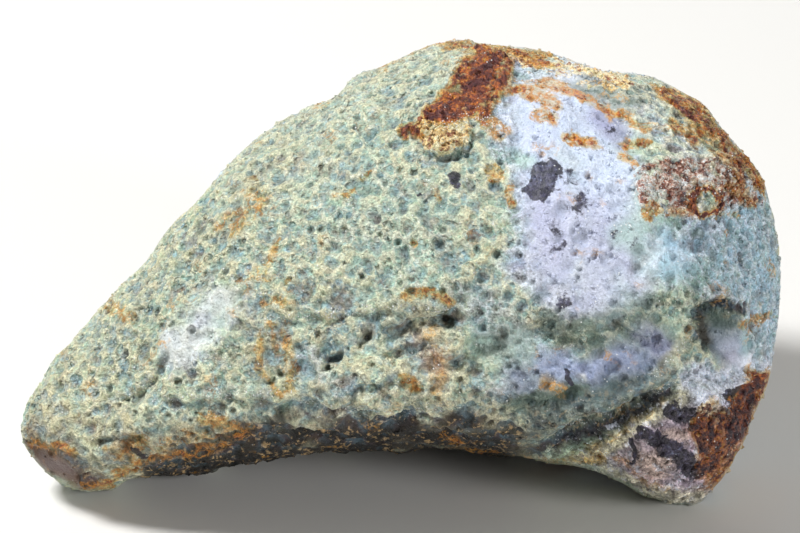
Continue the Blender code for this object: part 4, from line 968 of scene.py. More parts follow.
def area_of(grid):
    """The area that each point of the grid stands for."""
    along = np.gradient(grid, axis=0)
    around = (np.roll(grid, -1, axis=1) - np.roll(grid, 1, axis=1)) / 2
    return np.linalg.norm(np.cross(along, around), axis=2)


def strewn_spots(share, count, widths, shares, seed, small=1):
    """Pits strewn where the share of ground is: small above 1 makes little ones the more common."""
    rows, columns = share.shape
    chance = np.random.default_rng(seed)
    made = 0
    while made < count:
        at, around, luck, width, deep = chance.random(5)
        row, column = int(at * (rows - 1)), int(around * columns)
        if luck < share[row, column] and 1 < row < rows - 2:
            made += 1
            width = np.interp(width**small, (0, 1), widths)
            yield row, column, width, width * np.interp(deep, (0, 1), shares)


def ground_share(grid, normal):
    """How much ground each point of the grid has for pits, away from the broken corner and the hollow."""
    u, v = grid[..., 0], grid[..., 1]
    share = area_of(grid)
    share = share / share.max()
    front = normal[..., 2] > 0
    for outline in (BROKEN_FACE, HOLLOW_EDGE, CHIP_FACE):
        share[front & (depth_inside(u, v, outline) > -CLEAR_OF_BREAK)] = 0
    return share


def coarse_relief(grid, normal):
    """The relief that the solid has too: lumps held back at the outline, big forms and large pits."""
    held = smoothstep(*LUMP_FACING, np.abs(normal[..., 2]))
    height = np.zeros(grid.shape[:2])
    for size, rise, seed in LUMPS:
        height += rise * noise(grid, size, seed)
    height = height * held + front_relief(grid, normal)
    share = ground_share(grid, normal)
    share[normal[..., 2] > 0] *= FRONT_SHARE
    strays = strewn_spots(share, STRAY_PITS, STRAY_WIDTH, STRAY_SHARE, STRAY_SEED)
    depth = press_pits(grid, strays, np.zeros(height.shape), RIM_RISE)
    depth = press_pits(grid, front_spots(grid, normal), depth, RIM_RISE)
    return height, depth


def stroke(u, v, line, half_width):
    """One on a line of points or a single point, down to nothing away from it."""
    if len(line) == 1:
        distance = np.hypot(u - line[0][0], v - line[0][1])
    else:
        distance = line_distance(u, v, line)[0]
    return 1 - smoothstep(*STROKE_EDGE, distance / half_width)


def smoothness_of(u, v, facing):
    """How smooth the ground is, from the pitted skin at 0 to bare chalcedony at 1."""
    smooth = np.zeros(u.shape)
    for amount, half_width, line in SMOOTH_GROUND:
        smooth = np.maximum(smooth, amount * stroke(u, v, line, half_width))
    chip = smoothstep(*CHIP_EDGE, depth_inside(u, v, CHIP_FACE))
    return np.maximum(smooth, chip) * smoothstep(*SMOOTH_FACING, facing)


def belly_share(u, down):
    """One on the belly, which turns down between the tail and the broken corner."""
    return smoothstep(*BELLY_START, u) * (1 - smoothstep(*BELLY_END, u)) * smoothstep(*BELLY_DOWN, down)


def under_ledges(grid, far):
    """One just below the edges of the ledges, down to nothing away from them, weaker for the low ones."""
    ragged, size, seeds = LINE_RAGGED
    u, v = (grid[..., axis] + ragged * noise(grid, size, seed) for axis, seed in enumerate(seeds))
    foot = np.zeros(u.shape)
    for line, drop, reach in LEDGES:
        distance, side, along = line_distance(u, v, line)
        here = smoothstep(*UNDERCUT_NEAR, distance * side) * (1 - smoothstep(*far, distance))
        foot = np.maximum(foot, min(drop, 1) * here * ends_fade(along))
    return foot


def fine_relief(grid, normal, coarse_depth):
    """The fine surface: lumps, small pits, crumbs on the crusts and splinters on the broken face."""
    u, v, facing = grid[..., 0], grid[..., 1], normal[..., 2]
    smooth = smoothness_of(u, v, facing)
    front = smoothstep(*FINE_FACING, facing)
    held = BACK_LUMPS + (1 - BACK_LUMPS) * smoothstep(*FINE_LUMP_FACING, facing)
    height = np.zeros(u.shape)
    for size, rise, seed in FINE_LUMPS:
        height += rise * noise(grid, size, seed)
    height *= (1 - LUMPS_TAKEN * smooth) * held
    for size, rise, seed in BELLY_LUMPS:
        height += rise * noise(grid, size, seed) * belly_share(u, -normal[..., 1])
    crumbs = sum(np.abs(noise(grid, CRUMB_SIZE / part, CRUMB_SEED)) / part for part in (1, 2))
    for outline, rise, crumb_rise in CRUSTS:
        inside = smoothstep(*CRUST_EDGE, depth_inside(u, v, outline)) * front
        height += (rise + crumb_rise * (crumbs - CRUMB_MIDDLE)) * inside
    inside = smoothstep(*FACE_EDGE, depth_inside(u, v, BROKEN_FACE)) * front
    for size, rise, seed in SPLINTERS:
        height += rise * (SPLINTER_MIDDLE - np.abs(noise(grid, size, seed))) * inside
    uneven, size, seed = PIT_UNEVEN
    wander = uneven * noise(grid, size, seed)
    area = area_of(grid)
    area = area / area.max()
    knobs = np.zeros(u.shape)
    for outline, count, widths, shares, seed in KNOBS:
        spots = strewn_spots(area * (depth_inside(u, v, outline) > 0) * front, count, widths, shares, seed)
        knobs = press_pits(grid, spots, knobs, 0, wander)
    height -= UNDERCUT * under_ledges(grid, UNDERCUT_FAR) * front
    calm = BACK_SHARE + (1 - BACK_SHARE) * front
    share = area * (1 - PITS_TAKEN * smooth) * (1 - FACE_TAKEN * inside) * calm
    depth = coarse_depth.copy()
    for outline, count, widths, shares, seed in SCOOPS:
        spots = strewn_spots(share * (depth_inside(u, v, outline) > 0), count, widths, shares, seed)
        depth = press_pits(grid, spots, depth, RIM_RISE, wander)
    for count, widths, shares, small, rim_rise, seed in FINE_PITS:
        spots = strewn_spots(share, count, widths, shares, seed, small)
        depth = press_pits(grid, spots, depth, rim_rise, wander)
    return height + knobs * held, depth


def placed(points):
    """Turn points on the show face to the stone's lean, with the worn flat at level zero."""
    u, v, w = points[..., 0], points[..., 1], points[..., 2]
    back = v * sin(LEAN) - w * cos(LEAN)
    up = v * cos(LEAN) + w * sin(LEAN) - FLOOR_LEVEL
    return np.stack([u, back, up], axis=-1)


def middle_of(points):
    """The middle of the foot of some placed points, which is the stone's origin."""
    low, high = points.reshape(-1, 3).min(axis=0), points.reshape(-1, 3).max(axis=0)
    return np.array([(low[0] + high[0]) / 2, (low[1] + high[1]) / 2, 0])


def blurred(values, cells):
    """A square average over the grid, which closes round its columns."""
    wrapped = np.concatenate([values[:, -cells:], values, values[:, :cells]], axis=1)
    padded = np.pad(wrapped, ((cells, cells), (0, 0)), mode="edge")
    summed = np.cumsum(np.pad(padded, ((1, 0), (1, 0))), axis=0).cumsum(axis=1)
    size = 2 * cells + 1
    total = summed[size:, size:] - summed[:-size, size:] - summed[size:, :-size] + summed[:-size, :-size]
    return total / size**2


def skin_of(grid):
    """The vertices and faces of the closed skin over the rings, with one point at each tip."""
    rows, columns = grid.shape[:2]
    rings = grid[1:-1].reshape(-1, 3)
    tips = np.array([grid[0].mean(axis=0), grid[-1].mean(axis=0)])
    left_tip, right_tip = len(rings), len(rings) + 1
    here = np.arange(columns)
    beside = np.roll(here, -1)
    starts = np.arange(rows - 3)[:, None] * columns
    a, b = starts + here, starts + beside
    c, d = b + columns, a + columns
    lower = np.stack([a, b, c], axis=-1).reshape(-1, 3)
    upper = np.stack([a, c, d], axis=-1).reshape(-1, 3)
    last = (rows - 3) * columns
    left_fan = np.stack([np.full(columns, left_tip), beside, here], axis=-1)
    right_fan = np.stack([last + here, last + beside, np.full(columns, right_tip)], axis=-1)
    return np.concatenate([rings, tips]), np.concatenate([lower, upper, left_fan, right_fan])


def on_skin(values):
    """One value for each vertex that skin_of makes, from one for each point of the grid."""
    return np.concatenate([values[1:-1].ravel(), [values[0].mean(), values[-1].mean()]])


def triangle_mesh(name, points, triangles):
    mesh = bpy.data.meshes.new(name)
    mesh.vertices.add(len(points))
    mesh.vertices.foreach_set("co", points.astype(np.float32).ravel())
    mesh.loops.add(3 * len(triangles))
    mesh.loops.foreach_set("vertex_index", triangles.astype(np.int32).ravel())
    mesh.polygons.add(len(triangles))
    mesh.polygons.foreach_set("loop_start", np.arange(0, 3 * len(triangles), 3, dtype=np.int32))
    mesh.update(calc_edges=True)
    return mesh


def set_values(mesh, name, values):
    """Store one number, or one colour, for each vertex."""
    if values.ndim == 1:
        attribute = mesh.attributes.new(name, "FLOAT", "POINT")
        attribute.data.foreach_set("value", values.astype(np.float32))
    else:
        attribute = mesh.attributes.new(name, "FLOAT_COLOR", "POINT")
        attribute.data.foreach_set("color", values.astype(np.float32).ravel())


def values_of(mesh, name):
    attribute = mesh.attributes[name]
    if attribute.data_type == "FLOAT":
        values = np.empty(len(mesh.vertices), np.float32)
        attribute.data.foreach_get("value", values)
    else:
        values = np.empty((len(mesh.vertices), 4), np.float32)
        attribute.data.foreach_get("color", values.ravel())
    return values.astype(float)


def linear(name):
    """A palette colour as Blender's linear values, with its alpha."""
    shares = np.array(PALETTE[name]) / 255
    return tuple(np.where(shares <= 0.04045, shares / 12.92, ((shares + 0.055) / 1.055) ** 2.4)) + (1.0,)


def paint(points, facing, down):
    """The skin's colour and each mark's value at every vertex, from where it lies on the show face."""
    u, v = (
        points[:, axis] + sum(far * noise(points, size, seed) for far, size in DRIFT)
        for axis, seed in enumerate(DRIFT_SEEDS)
    )
    sway = [SWAY * noise(points, SWAY_SIZE, seed) for seed in SWAY_SEEDS]

    def laid(line, half_width):
        reach = min(half_width, WIDEST)
        return front * stroke(u + reach * sway[0], v + reach * sway[1], line, half_width)

    front = smoothstep(*FRONT_WRAP, facing)
    back = 1 - front
    patches = [noise(points, size, seed) for size, seed in PATCHES]
    broad, spread, wide_stain, stain, wide_ink, ink = patches
    colour = np.tile(linear("sage")[:3], (len(points), 1))
    colour = blend_to(colour, "pale", GROUND_TONE * smoothstep(*PALE_PATCHES, spread))
    colour = blend_to(colour, "tan_green", GROUND_TONE * smoothstep(*TAN_PATCHES, -spread))
    chalky = smoothstep(*CHALKY_PATCHES, broad + 0.25 * spread + 0.02 * u)
    colour = blend_to(colour, "blue_white", CHALKY_TONE * back * chalky)
    colour = blend_to(colour, "fern", GROUND_TONE * back * smoothstep(*FERN_PATCHES, -broad))
    marks = {name: np.zeros(len(points)) for name in MARK_NAMES}
    for name, strength, half_width, line in TINTS:
        share = strength * laid(line, half_width)
        colour = blend_to(colour, name, share)
        marks["painted"] = np.maximum(marks["painted"], share)
    colour = blend_to(colour, "deep", LEDGE_DARK * under_ledges(points, LEDGE_DARK_FAR) * front)
    # Painted shade on the belly, where the ground turns down: brown, then deep brown, then nearly black.
    belly_shade = belly_share(u, down - BELLY_SHADE_LOWER + BELLY_SHADE_RAGGED * sway[0])
    colour = blend_to(colour, "olive_brown", BELLY_SHADE_BROWN * belly_shade)
    belly_shade = belly_shade**BELLY_SHADE_GROWTH
    colour = blend_to(colour, "deep", BELLY_SHADE_DEEP * belly_shade) * (1 - BELLY_SHADE_BLACK * belly_shade)[:, None]
    for name, courses in MARKS.items():
        for strength, half_width, line in courses:
            marks[name] = np.maximum(marks[name], strength * laid(line, half_width))
    for name, strength, at_u, at_v, radius, half_width in RINGS:
        off = np.abs(np.hypot(u - at_u, v - at_v) - radius) / half_width
        marks[name] = np.maximum(marks[name], strength * front * (1 - smoothstep(*RING_EDGE, off)))
    for name, strength, outline in MARK_ZONES:
        inside = smoothstep(-ZONE_BLUR, ZONE_BLUR, depth_inside(u, v, outline))
        marks[name] = np.maximum(marks[name], strength * front * inside)
    rind = front * stroke(u, v, RIND, RIND_HALF_WIDTH)
    marks["broken"] *= 1 - RIND_WHOLE * rind
    marks["bare"] = np.maximum(marks["bare"], RIND_BARE * rind)
    marks["rust"] *= 1 - stroke(u, v, PALE_KNOB[:1], PALE_KNOB[1])
    taken = [marks[name] for name in ("iron", "ink", "tan", "rust", "bare", "broken")]
    marks["plain"] = 1 - np.clip(np.max(taken, axis=0), 0, 1)
    rusted = smoothstep(*RUSTED_PATCHES, wide_stain + FINE_PATCH * stain + 0.015 * (u + v))
    marks["iron"] = np.maximum(marks["iron"], BACK_IRON * back * rusted)
    inked = smoothstep(*INKED_PATCHES, wide_ink + FINE_PATCH * ink)
    marks["ink"] = np.maximum(marks["ink"], BACK_INK * back * chalky * inked)
    return colour, marks


def blend_to(colour, name, share):
    return colour + (np.array(linear(name)[:3]) - colour) * share[:, None]


def make_stone(look):
    """The whole stone as one closed mesh, with its painting stored at the vertices."""
    grid = plain_form(*GRID)
    normal = normals_of(grid)
    height, depth = coarse_relief(grid, normal)
    middle = middle_of(placed(grid + normal * (height - depth)[..., None]))
    fine_height, depth = fine_relief(grid, normal, depth)
    height = height + fine_height - depth
    relief = fine_height - depth
    worn = grid + normal * height[..., None]
    points, triangles = skin_of(worn)
    points[:, 2] *= np.where(points[:, 2] < 0, BACK_FLATTENED, 1)
    mesh = triangle_mesh("thick_skin", points, triangles)
    pit = sum(share * smoothstep(*reach, depth) for share, reach in PIT_SHADES)
    set_values(mesh, "pit", on_skin(pit))
    set_values(mesh, "facing", on_skin(normal[..., 2]))
    set_values(mesh, "down", on_skin(-normal[..., 1]))
    # How far a place dips below what is round it, near and wide: the material paints shade in hollows and
    # highlight on crests from these.
    set_values(mesh, "dip", on_skin(blurred(relief, NEAR_CELLS) - relief))
    set_values(mesh, "basin", on_skin(blurred(relief, WIDE_CELLS) - blurred(relief, NEAR_CELLS)))
    thick = bpy.data.objects.new("thick_skin", mesh)
    bpy.context.collection.objects.link(thick)
    thin = thick.modifiers.new("thin", "DECIMATE")
    thin.ratio = TRIANGLES / len(triangles)
    seen = thick.evaluated_get(bpy.context.evaluated_depsgraph_get())
    skin = bpy.data.meshes.new_from_object(seen)
    bpy.data.objects.remove(thick)
    bpy.data.meshes.remove(mesh)
    skin.name = "agate_skin"
    on_face = np.empty(3 * len(skin.vertices), np.float32)
    skin.vertices.foreach_get("co", on_face)
    on_face = on_face.reshape(-1, 3).astype(float)
    on_face[:, 2] /= np.where(on_face[:, 2] < 0, BACK_FLATTENED, 1)
    places = (placed(on_face) - middle) * MM
    places[:, 2] = np.maximum(places[:, 2], 0)
    skin.vertices.foreach_set("co", places.astype(np.float32).ravel())
    facing = values_of(skin, "facing")
    colour, marks = paint(on_face, facing, values_of(skin, "down"))
    set_values(skin, "tint", np.column_stack([colour, np.ones(len(colour))]))
    for name, values in marks.items():
        set_values(skin, name, values)
    set_values(skin, "smooth", smoothness_of(on_face[:, 0], on_face[:, 1], facing))
    skin.shade_smooth()
    skin.materials.append(look)
    stone = bpy.data.objects.new("agate_skin", skin)
    bpy.context.collection.objects.link(stone)
    return stone, middle


def strewn_over(skin, share, count, chance):
    """Random places on the skin, likelier where the share is larger, with the way out of the skin there.

    The last thing given back mixes values of the skin's vertices to those at the places.
    """
    places = np.empty(3 * len(skin.vertices), np.float32)
    skin.vertices.foreach_get("co", places)
    places = places.reshape(-1, 3).astype(float)
    corners = np.empty(3 * len(skin.polygons), np.int32)
    skin.polygons.foreach_get("vertices", corners)
    corners = corners.reshape(-1, 3)
    a, b, c = (places[corners[:, corner]] for corner in range(3))
    outward = np.cross(b - a, c - a)
    area = np.linalg.norm(outward, axis=1)
    weight = np.cumsum(area * share[corners].mean(axis=1) ** 2)
    chosen = np.searchsorted(weight, chance.random(count) * weight[-1])
    s, t = chance.random((2, count, 1))
    s, t = np.where(s + t > 1, 1 - s, s), np.where(s + t > 1, 1 - t, t)
    shares = np.hstack([1 - s - t, s, t])

    def mixed(values):
        return np.einsum("ij,ij...->i...", shares, values[corners[chosen]])

    return mixed(places), outward[chosen] / area[chosen][:, None], mixed


def turned_at_random(shapes, chance):
    """The points of each shape, turned any way about its middle."""
    first, second = chance.normal(size=(2, len(shapes), 3))
    first /= np.linalg.norm(first, axis=1, keepdims=True)
    third = np.cross(first, second)
    third /= np.linalg.norm(third, axis=1, keepdims=True)
    axes = np.stack([first, np.cross(third, first), third], axis=1)
    return shapes @ axes


def make_grains(name, skin, kinds, shape, uneven, material, seed):
    """Small faceted grains sunk into the skin, as one mesh with the skin's painting under each grain."""
    corners, faces = shape
    chance = np.random.default_rng(seed)
    points, painting = [], {name: [] for name in PAINTED}
    for mark, count, sizes in kinds:
        spots, outward, mixed = strewn_over(skin, values_of(skin, mark), count, chance)
        size = np.interp(chance.random(count) ** 2, (0, 1), sizes) * MM
        stretch = 1 + uneven * chance.uniform(-1, 1, (count, len(corners), 1))
        grains = turned_at_random(corners * stretch, chance) * (size / 2)[:, None, None]
        points.append(grains + (spots + outward * (size * GRAIN_PROUD)[:, None])[:, None])
        for name_of, values in painting.items():
            values.append(np.repeat(mixed(values_of(skin, name_of)), len(corners), axis=0))
    points = np.concatenate(points)
    starts = np.arange(len(points))[:, None, None] * len(corners)
    mesh = triangle_mesh(name, points.reshape(-1, 3), (faces + starts).reshape(-1, 3))
    for name_of, values in painting.items():
        set_values(mesh, name_of, np.concatenate(values))
    mesh.materials.append(material)
    grains = bpy.data.objects.new(name, mesh)
    bpy.context.collection.objects.link(grains)
    return grains


def octahedron():
    corners = np.array([(1, 0, 0), (-1, 0, 0), (0, 1, 0), (0, -1, 0), (0, 0, 1), (0, 0, -1)], float)
    faces = [(0, 2, 4), (2, 1, 4), (1, 3, 4), (3, 0, 4), (2, 0, 5), (1, 2, 5), (3, 1, 5), (0, 3, 5)]
    return corners, np.array(faces)


def icosahedron():
    lump = bmesh.new()
    bmesh.ops.create_icosphere(lump, subdivisions=1, radius=1.0)
    corners = np.array([vertex.co[:] for vertex in lump.verts])
    faces = np.array([[vertex.index for vertex in face.verts] for face in lump.faces])
    lump.free()
    return corners, faces


class Wires:
    """Short calls for the nodes that a material is wired from."""

    def __init__(self, name):
        self.material = bpy.data.materials.new(name)
        self.material.use_nodes = True
        self.nodes = self.material.node_tree.nodes
        self.links = self.material.node_tree.links
        self.shader = self.nodes["Principled BSDF"]
        coordinates = self.nodes.new("ShaderNodeTexCoord").outputs["Object"]
        self.place = self.vector("SCALE", coordinates, scale=1 / MM)

    def put(self, kind, inputs, **settings):
        node = self.nodes.new(kind)
        for name, value in settings.items():
            setattr(node, name, value)
        for socket, value in inputs.items():
            if isinstance(value, bpy.types.NodeSocket):
                self.links.new(value, node.inputs[socket])
            else:
                node.inputs[socket].default_value = value
        return node

    def vector(self, operation, a, b=(0, 0, 0), scale=1.0):
        node = self.put("ShaderNodeVectorMath", {0: a, 1: b, 3: scale}, operation=operation)
        return node.outputs[0]

    def value(self, name):
        return self.put("ShaderNodeAttribute", {}, attribute_name=name).outputs["Fac"]

    def colour(self, name):
        return self.put("ShaderNodeAttribute", {}, attribute_name=name).outputs["Color"]

    def noise(self, size, detail=3.0, roughness=0.55, shift=0.0):
        """Noise from 0 to 1 with waves of the given size in millimetres."""
        place = self.vector("ADD", self.place, (shift, 2 * shift, -shift))
        inputs = {"Vector": place, "Scale": 1 / size, "Detail": detail, "Roughness": roughness}
        return self.put("ShaderNodeTexNoise", inputs).outputs["Fac"]

    def warped(self, size, reach):
        """Places shifted about by noise, so that cells and dots come out uneven."""
        inputs = {"Vector": self.place, "Scale": 1 / size, "Detail": 2.0}
        wander = self.put("ShaderNodeTexNoise", inputs).outputs["Color"]
        centred = self.vector("SUBTRACT", wander, (0.5, 0.5, 0.5))
        return self.vector("ADD", self.place, self.vector("SCALE", centred, scale=reach))

    def cells(self, size, place):
        """How far from a cell's middle a place is, and the cell's own chance colour."""
        node = self.put("ShaderNodeTexVoronoi", {"Vector": place, "Scale": 1 / size})
        return node.outputs["Distance"], node.outputs["Color"]

    def math(self, operation, a, b=0.0, clamp=False):
        return self.put("ShaderNodeMath", {0: a, 1: b}, operation=operation, use_clamp=clamp).outputs[0]

    def plus(self, a, b):
        return self.math("ADD", a, b)

    def times(self, *factors):
        return reduce(partial(self.math, "MULTIPLY"), factors)

    def rest_of(self, share):
        return self.math("SUBTRACT", 1.0, share)

    def centred(self, noise, spread):
        """A noise about nothing, made this much stronger."""
        return self.times(self.math("SUBTRACT", noise, 0.5), spread)

    def step(self, low, high, value, out_low=0.0, out_high=1.0):
        """A smooth rise from one value to another as the input goes from low to high."""
        inputs = {"Value": value, "From Min": low, "From Max": high, "To Min": out_low, "To Max": out_high}
        return self.put("ShaderNodeMapRange", inputs, interpolation_type="SMOOTHSTEP").outputs["Result"]

    def fade(self, share, at_none, at_full):
        """A smooth change from one value to another as the share goes from none to full."""
        return self.step(0.0, 1.0, share, at_none, at_full)

    def rise(self, course, value):
        """A smooth rise given as its start, its end and how high it gets."""
        low, high, strength = course
        return self.step(low, high, value, 0.0, strength)

    def mix(self, share, a, b, blend="MIX"):
        """Colour b over colour a; a colour may be a palette name."""
        a, b = (linear(colour) if isinstance(colour, str) else colour for colour in (a, b))
        node = self.put("ShaderNodeMix", {0: share, 6: a, 7: b}, data_type="RGBA", blend_type=blend)
        return node.outputs[2]

    def split(self, colour):
        return self.put("ShaderNodeSeparateColor", {0: colour}).outputs

    def ramp(self, value, stops):
        """A colour read from a scale of palette colours."""
        node = self.put("ShaderNodeValToRGB", {0: value})
        scale = node.color_ramp.elements
        while len(scale) < len(stops):
            scale.new(0.5)
        for element, (position, name) in zip(scale, stops):
            element.position = position
            element.color = linear(name)
        return node.outputs["Color"]

    def bump(self, height, strength=1.0):
        """Bump from a height in millimetres."""
        inputs = {"Height": height, "Distance": MM, "Strength": strength}
        self.links.new(self.put("ShaderNodeBump", inputs).outputs["Normal"], self.shader.inputs["Normal"])


class SkinLook(Wires):
    """The skin: each step lays one thing over its colour, and over the heights of its bump."""

    def __init__(self):
        super().__init__("pitted_agate_skin")
        self.bare, self.broken, self.iron = (self.value(name) for name in ("bare", "broken", "iron"))
        self.smooth = self.value("smooth")
        self.rough = self.rest_of(self.smooth)
        self.whole = self.times(self.rest_of(self.broken), self.rough)
        self.now = self.colour("tint")
        red, _, blue = self.split(self.now)
        self.pale = self.mix(self.step(*BLUE_GROUND, self.math("SUBTRACT", blue, red)), "cream", "rind")
        self.light = self.step(*LIT_GROUND, self.put("ShaderNodeRGBToBW", {0: self.now}).outputs[0])
        self.floor = self.ramp(self.noise(*NOISES["floor"]), FLOOR_COLOURS)
        painted = self.value("painted")
        self.seen = self.times(self.light, self.fade(painted, 1.0, CELLED_PAINT))
        room = self.times(self.light, self.fade(painted, 1.0, MOTTLED_PAINT))
        self.ground = {
            "skin": self.times(self.whole, self.rest_of(self.bare), room),
            "bare": self.times(self.bare, self.whole, room),
            "smooth": self.times(self.smooth, room),
            "dark": self.times(self.whole, self.rest_of(self.light)),
            "broken": self.broken,
        }
        self.heights = self.times(self.step(*NOISE_MIDDLE, self.noise(*NOISES["fine"])), FINE_RISE)

    def lay(self, share, colour):
        self.now = self.mix(share, self.now, colour)

    def shade(self, share, tone):
        self.lay(share, self.mix(1.0, self.now, tone, "MULTIPLY"))

    def raise_by(self, *factors):
        self.heights = self.plus(self.heights, self.times(*factors))

    def stain(self, name, mark=None):
        """How much of a stain shows, with a torn edge and none away from its mark."""
        mark = self.value(mark or name)
        share = self.rise(STAINS[name], self.plus(mark, self.centred(self.torn, TORN_REACH)))
        return self.times(share, self.step(*STAIN_NEAR, mark))

    def mottle(self):
        """Blotches of a few tones at several sizes, fainter where the ground is dark or painted."""
        for name, share, low, size, shift, where in MOTTLES:
            blotch = self.step(low, low + MOTTLE_EDGE, self.noise(size, *MOTTLE_DETAIL, shift))
            self.lay(self.times(blotch, share, self.ground[where]), name)

    def add_cells(self):
        """Small cells side by side: mint or dusky inside, with thin pale rims."""
        place = self.warped(*CELL_WARP)
        crowded = self.step(*CROWDS, self.noise(*NOISES["crowd"]), SPARSE, 1.0)
        cellular = self.times(self.whole, crowded, self.fade(self.bare, 1.0, CELLED_BARE))
        for size, share, depth in CELLS:
            away, chance = self.cells(size, place)
            luck = self.split(chance)
            away = self.math("DIVIDE", away, self.fade(luck[0], *CELL_RADIUS))
            bowl = self.times(self.step(*CELL_WALL, away), cellular)
            clear = self.mix(luck[2], "mint", "aqua")
            inside = self.mix(self.step(*DUSKY_CELLS, luck[1]), clear, self.floor)
            self.lay(self.times(bowl, share, self.seen), inside)
            rim = self.times(self.step(*RIM_INNER, away), self.step(*RIM_OUTER, away), cellular, self.seen)
            self.lay(self.times(rim, PALE_SHARE), self.pale)
            self.raise_by(bowl, self.fade(luck[1], *CELL_DEPTHS), -depth)
            self.raise_by(rim, CELL_RIM_RISE)

    def add_veins(self):
        """Ochre veins, where there is iron about."""
        off = self.math("ABSOLUTE", self.math("SUBTRACT", self.noise(*NOISES["vein"]), 0.5))
        stray = self.step(*STRAY_VEINS, self.noise(*NOISES["stray"]), 0.0, STRAY_STRENGTH)
        about = self.step(*VEINED, self.plus(self.iron, stray))
        vein = self.times(self.step(*VEIN_EDGE, off), about, self.rest_of(self.broken))
        self.lay(self.times(vein, VEIN_SHARE), "ochre")

    def add_specks(self):
        place, chance = self.cells(SPECK_SIZE, self.warped(*SPECK_WARP))
        luck = self.split(chance)
        speck = self.times(self.step(*SPECK_EDGE, place), self.step(*SPECK_LUCK, luck[1]))
        self.lay(self.times(speck, self.whole, SPECK_SHARE), self.mix(luck[2], "teal_dark", "umber"))
        self.raise_by(speck, -SPECK_DEPTH)

    def break_corner(self):
        """The broken face: grains and cleavage facets, from dark to glassy white."""
        self.facet = self.split(self.cells(FACET_SIZE, self.warped(*FACET_WARP))[1])[0]
        blotch = self.step(*NOISE_MIDDLE, self.noise(*NOISES["facet"]), *BLOTCH_SHADES)
        tone = self.times(self.fade(self.facet, *FACET_SHADES), blotch)
        self.shade(self.broken, tone)
        self.raise_by(tone, FACET_RISE, self.broken)

    def shade_pits(self):
        """Painted shade in pits, clefts and basins, partly the dusky colour of pit floors; pale crests,
        partly painted highlight.
        """
        dip, basin = self.value("dip"), self.value("basin")
        self.lay(self.times(self.value("pit"), self.whole, PIT_FLOOR_AND_SHADE), self.floor)
        self.lay(self.times(self.rise(CLEFT_SHADE, dip), self.rough), "deep")
        self.lay(self.times(self.rise(BASIN_SHADE, basin), self.whole), self.floor)
        self.lay(self.times(self.step(*PALE_RIM_AND_HIGHLIGHT, dip), self.whole, self.seen, PALE_SHARE), self.pale)
        self.lay(self.times(self.rise(CREST_TINT_AND_HIGHLIGHT, basin), self.ground["skin"]), "straw")

    def add_stains(self):
        """Moss-dark grains, crusts, manganese and iron."""
        self.torn, crumb, clump = (self.noise(*NOISES[name]) for name in ("torn", "crumb", "clump"))
        self.lay(self.stain("moss"), "dark_green")
        tone = self.plus(clump, self.centred(crumb, CRUMB_TONE))
        plates = self.plus(tone, self.centred(self.facet, PLATE_TONE))
        for name, scale in CRUST_COLOURS:
            self.lay(self.stain(name), self.ramp(plates, scale))
        self.lay(self.stain("ink"), self.ramp(tone, INK_COLOURS))
        self.shade(self.stain("glaze", "iron"), "glaze")
        rusty = self.plus(self.centred(clump, CLUMP_RUST), self.times(self.iron, IRON_RUST))
        rusty = self.plus(rusty, self.centred(crumb, CRUMB_RUST))
        solid = self.stain("iron")
        self.lay(solid, self.ramp(rusty, IRON_COLOURS))
        self.lay(self.times(solid, self.broken, self.step(*PLUM_CLUMPS, clump, *PLUM_SHARES)), "plum_black")
        self.raise_by(self.torn, TORN_RISE, self.fade(self.rough, SMOOTH_TORN, 1.0))
        self.raise_by(clump, CLUMP_RISE, self.rough)
        self.raise_by(crumb, CRUMB_RISE, self.rough)

    def finish(self):
        """Light and dark grains over everything, white flakes of crystal partly painted as glints, and the
        gloss.
        """
        for size, dark, pale, shift in GRAINS:
            grain = self.noise(size, *GRAIN_DETAIL, shift)
            tone = self.step(*GRAIN_MIDDLE, grain, dark, pale)
            self.shade(self.fade(self.rough, SMOOTH_GRAIN, 1.0), tone)
        flakes, chance = self.cells(FLAKE_SIZE, self.place)
        rarity = self.step(0.0, FROSTED, self.value("frost"), *FLAKE_RARE)
        chosen = self.math("GREATER_THAN", self.split(chance)[0], rarity)
        glint = self.times(self.step(*FLAKE_EDGE, flakes), chosen, self.fade(self.light, *FLAKE_BRIGHT))
        # Painted highlight: the flakes are laid white, partly as glints.
        self.lay(glint, "white")
        dull = self.plus(self.fade(self.whole, *DULLNESS), self.step(*NOISE_MIDDLE, grain, *GRAIN_DULLNESS))
        dull = self.math("SUBTRACT", dull, self.times(glint, FLAKE_GLOSS), clamp=True)
        self.links.new(self.now, self.shader.inputs["Base Color"])
        self.links.new(dull, self.shader.inputs["Roughness"])
        self.bump(self.heights)


def skin_look():
    """The skin: mottled green over blue-white chalcedony, with iron, manganese and crystal specks."""
    skin = SkinLook()
    skin.mottle()
    skin.add_cells()
    skin.add_veins()
    skin.add_specks()
    skin.break_corner()
    skin.shade_pits()
    skin.add_stains()
    skin.finish()
    return skin.material


def crystal_look():
    """Small quartz crystals: clear white, their faces glinting."""
    w = Wires("quartz_crystals")
    shade = w.step(0.3, 0.7, w.noise(0.3, 3.0), 0.75, 1.0)
    w.links.new(w.mix(1.0, "milk", shade, "MULTIPLY"), w.shader.inputs["Base Color"])
    w.shader.inputs["Roughness"].default_value = 0.1
    return w.material


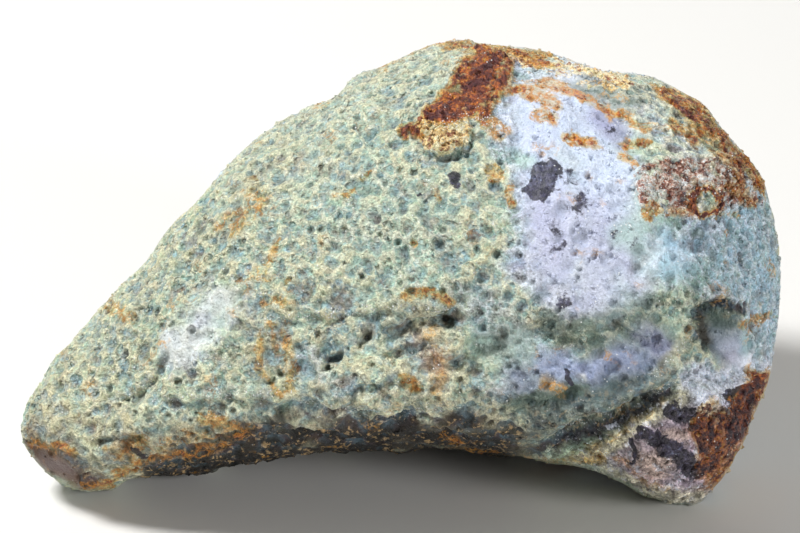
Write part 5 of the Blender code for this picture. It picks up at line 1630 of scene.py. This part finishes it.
def make_floor():
    bpy.ops.mesh.primitive_circle_add(
        vertices=96, radius=FLOOR_RADIUS, fill_type="NGON", location=(0, 0, 0)
    )
    floor = bpy.context.object
    floor.name = "pale_floor"
    w = Wires("pale_floor")
    w.shader.inputs["Base Color"].default_value = linear("floor")
    w.shader.inputs["Roughness"].default_value = FLOOR_ROUGHNESS
    floor.data.materials.append(w.material)


def make_light(name, direction, distance, size, energy, middle):
    """A soft square light, off to the given right, up and forward of the show face."""
    lamp = bpy.data.lights.new(name, "AREA")
    lamp.size = size
    lamp.energy = energy
    light = bpy.data.objects.new(name, lamp)
    bpy.context.collection.objects.link(light)
    place = np.array(direction, float)
    place = place / np.linalg.norm(place) * distance
    light.location = Vector((placed(place) - middle) * MM)
    target = Vector((placed(np.zeros(3)) - middle) * MM)
    light.rotation_euler = (light.location - target).to_track_quat("Z", "Y").to_euler()


def make_camera(middle):
    data = bpy.data.cameras.new("camera")
    data.sensor_width = SENSOR_WIDTH
    data.lens = SENSOR_WIDTH * CAMERA_DISTANCE / VIEW_WIDTH
    data.clip_end = FARTHEST_SEEN
    camera = bpy.data.objects.new("camera", data)
    bpy.context.collection.objects.link(camera)
    camera.location = Vector((placed(np.array([*VIEW_MIDDLE, CAMERA_DISTANCE])) - middle) * MM)
    camera.rotation_euler = (pi / 2 - LEAN, 0, 0)
    bpy.context.scene.camera = camera


def light_scene(middle):
    for name, direction, distance, size, energy in LIGHTS:
        make_light(name, direction, distance, size, energy, middle)
    world = bpy.data.worlds.new("studio")
    world.use_nodes = True
    sky = world.node_tree.nodes["Background"]
    sky.inputs["Color"].default_value = linear("floor")
    sky.inputs["Strength"].default_value = SKY_STRENGTH
    bpy.context.scene.world = world
    bpy.context.scene.view_settings.view_transform = "Standard"


look = skin_look()
stone, stone_middle = make_stone(look)
crumbs = make_grains("crusty_crumbs", stone.data, CRUMBS, icosahedron(), CRUMB_UNEVEN, look, 71)
crystals = make_grains("quartz_crystals", stone.data, CRYSTALS, octahedron(), 0, crystal_look(), 72)
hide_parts("agate_nodule")
for piece in (stone, crumbs, crystals):
    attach(piece, "root")
make_floor()
make_camera(stone_middle)
light_scene(stone_middle)
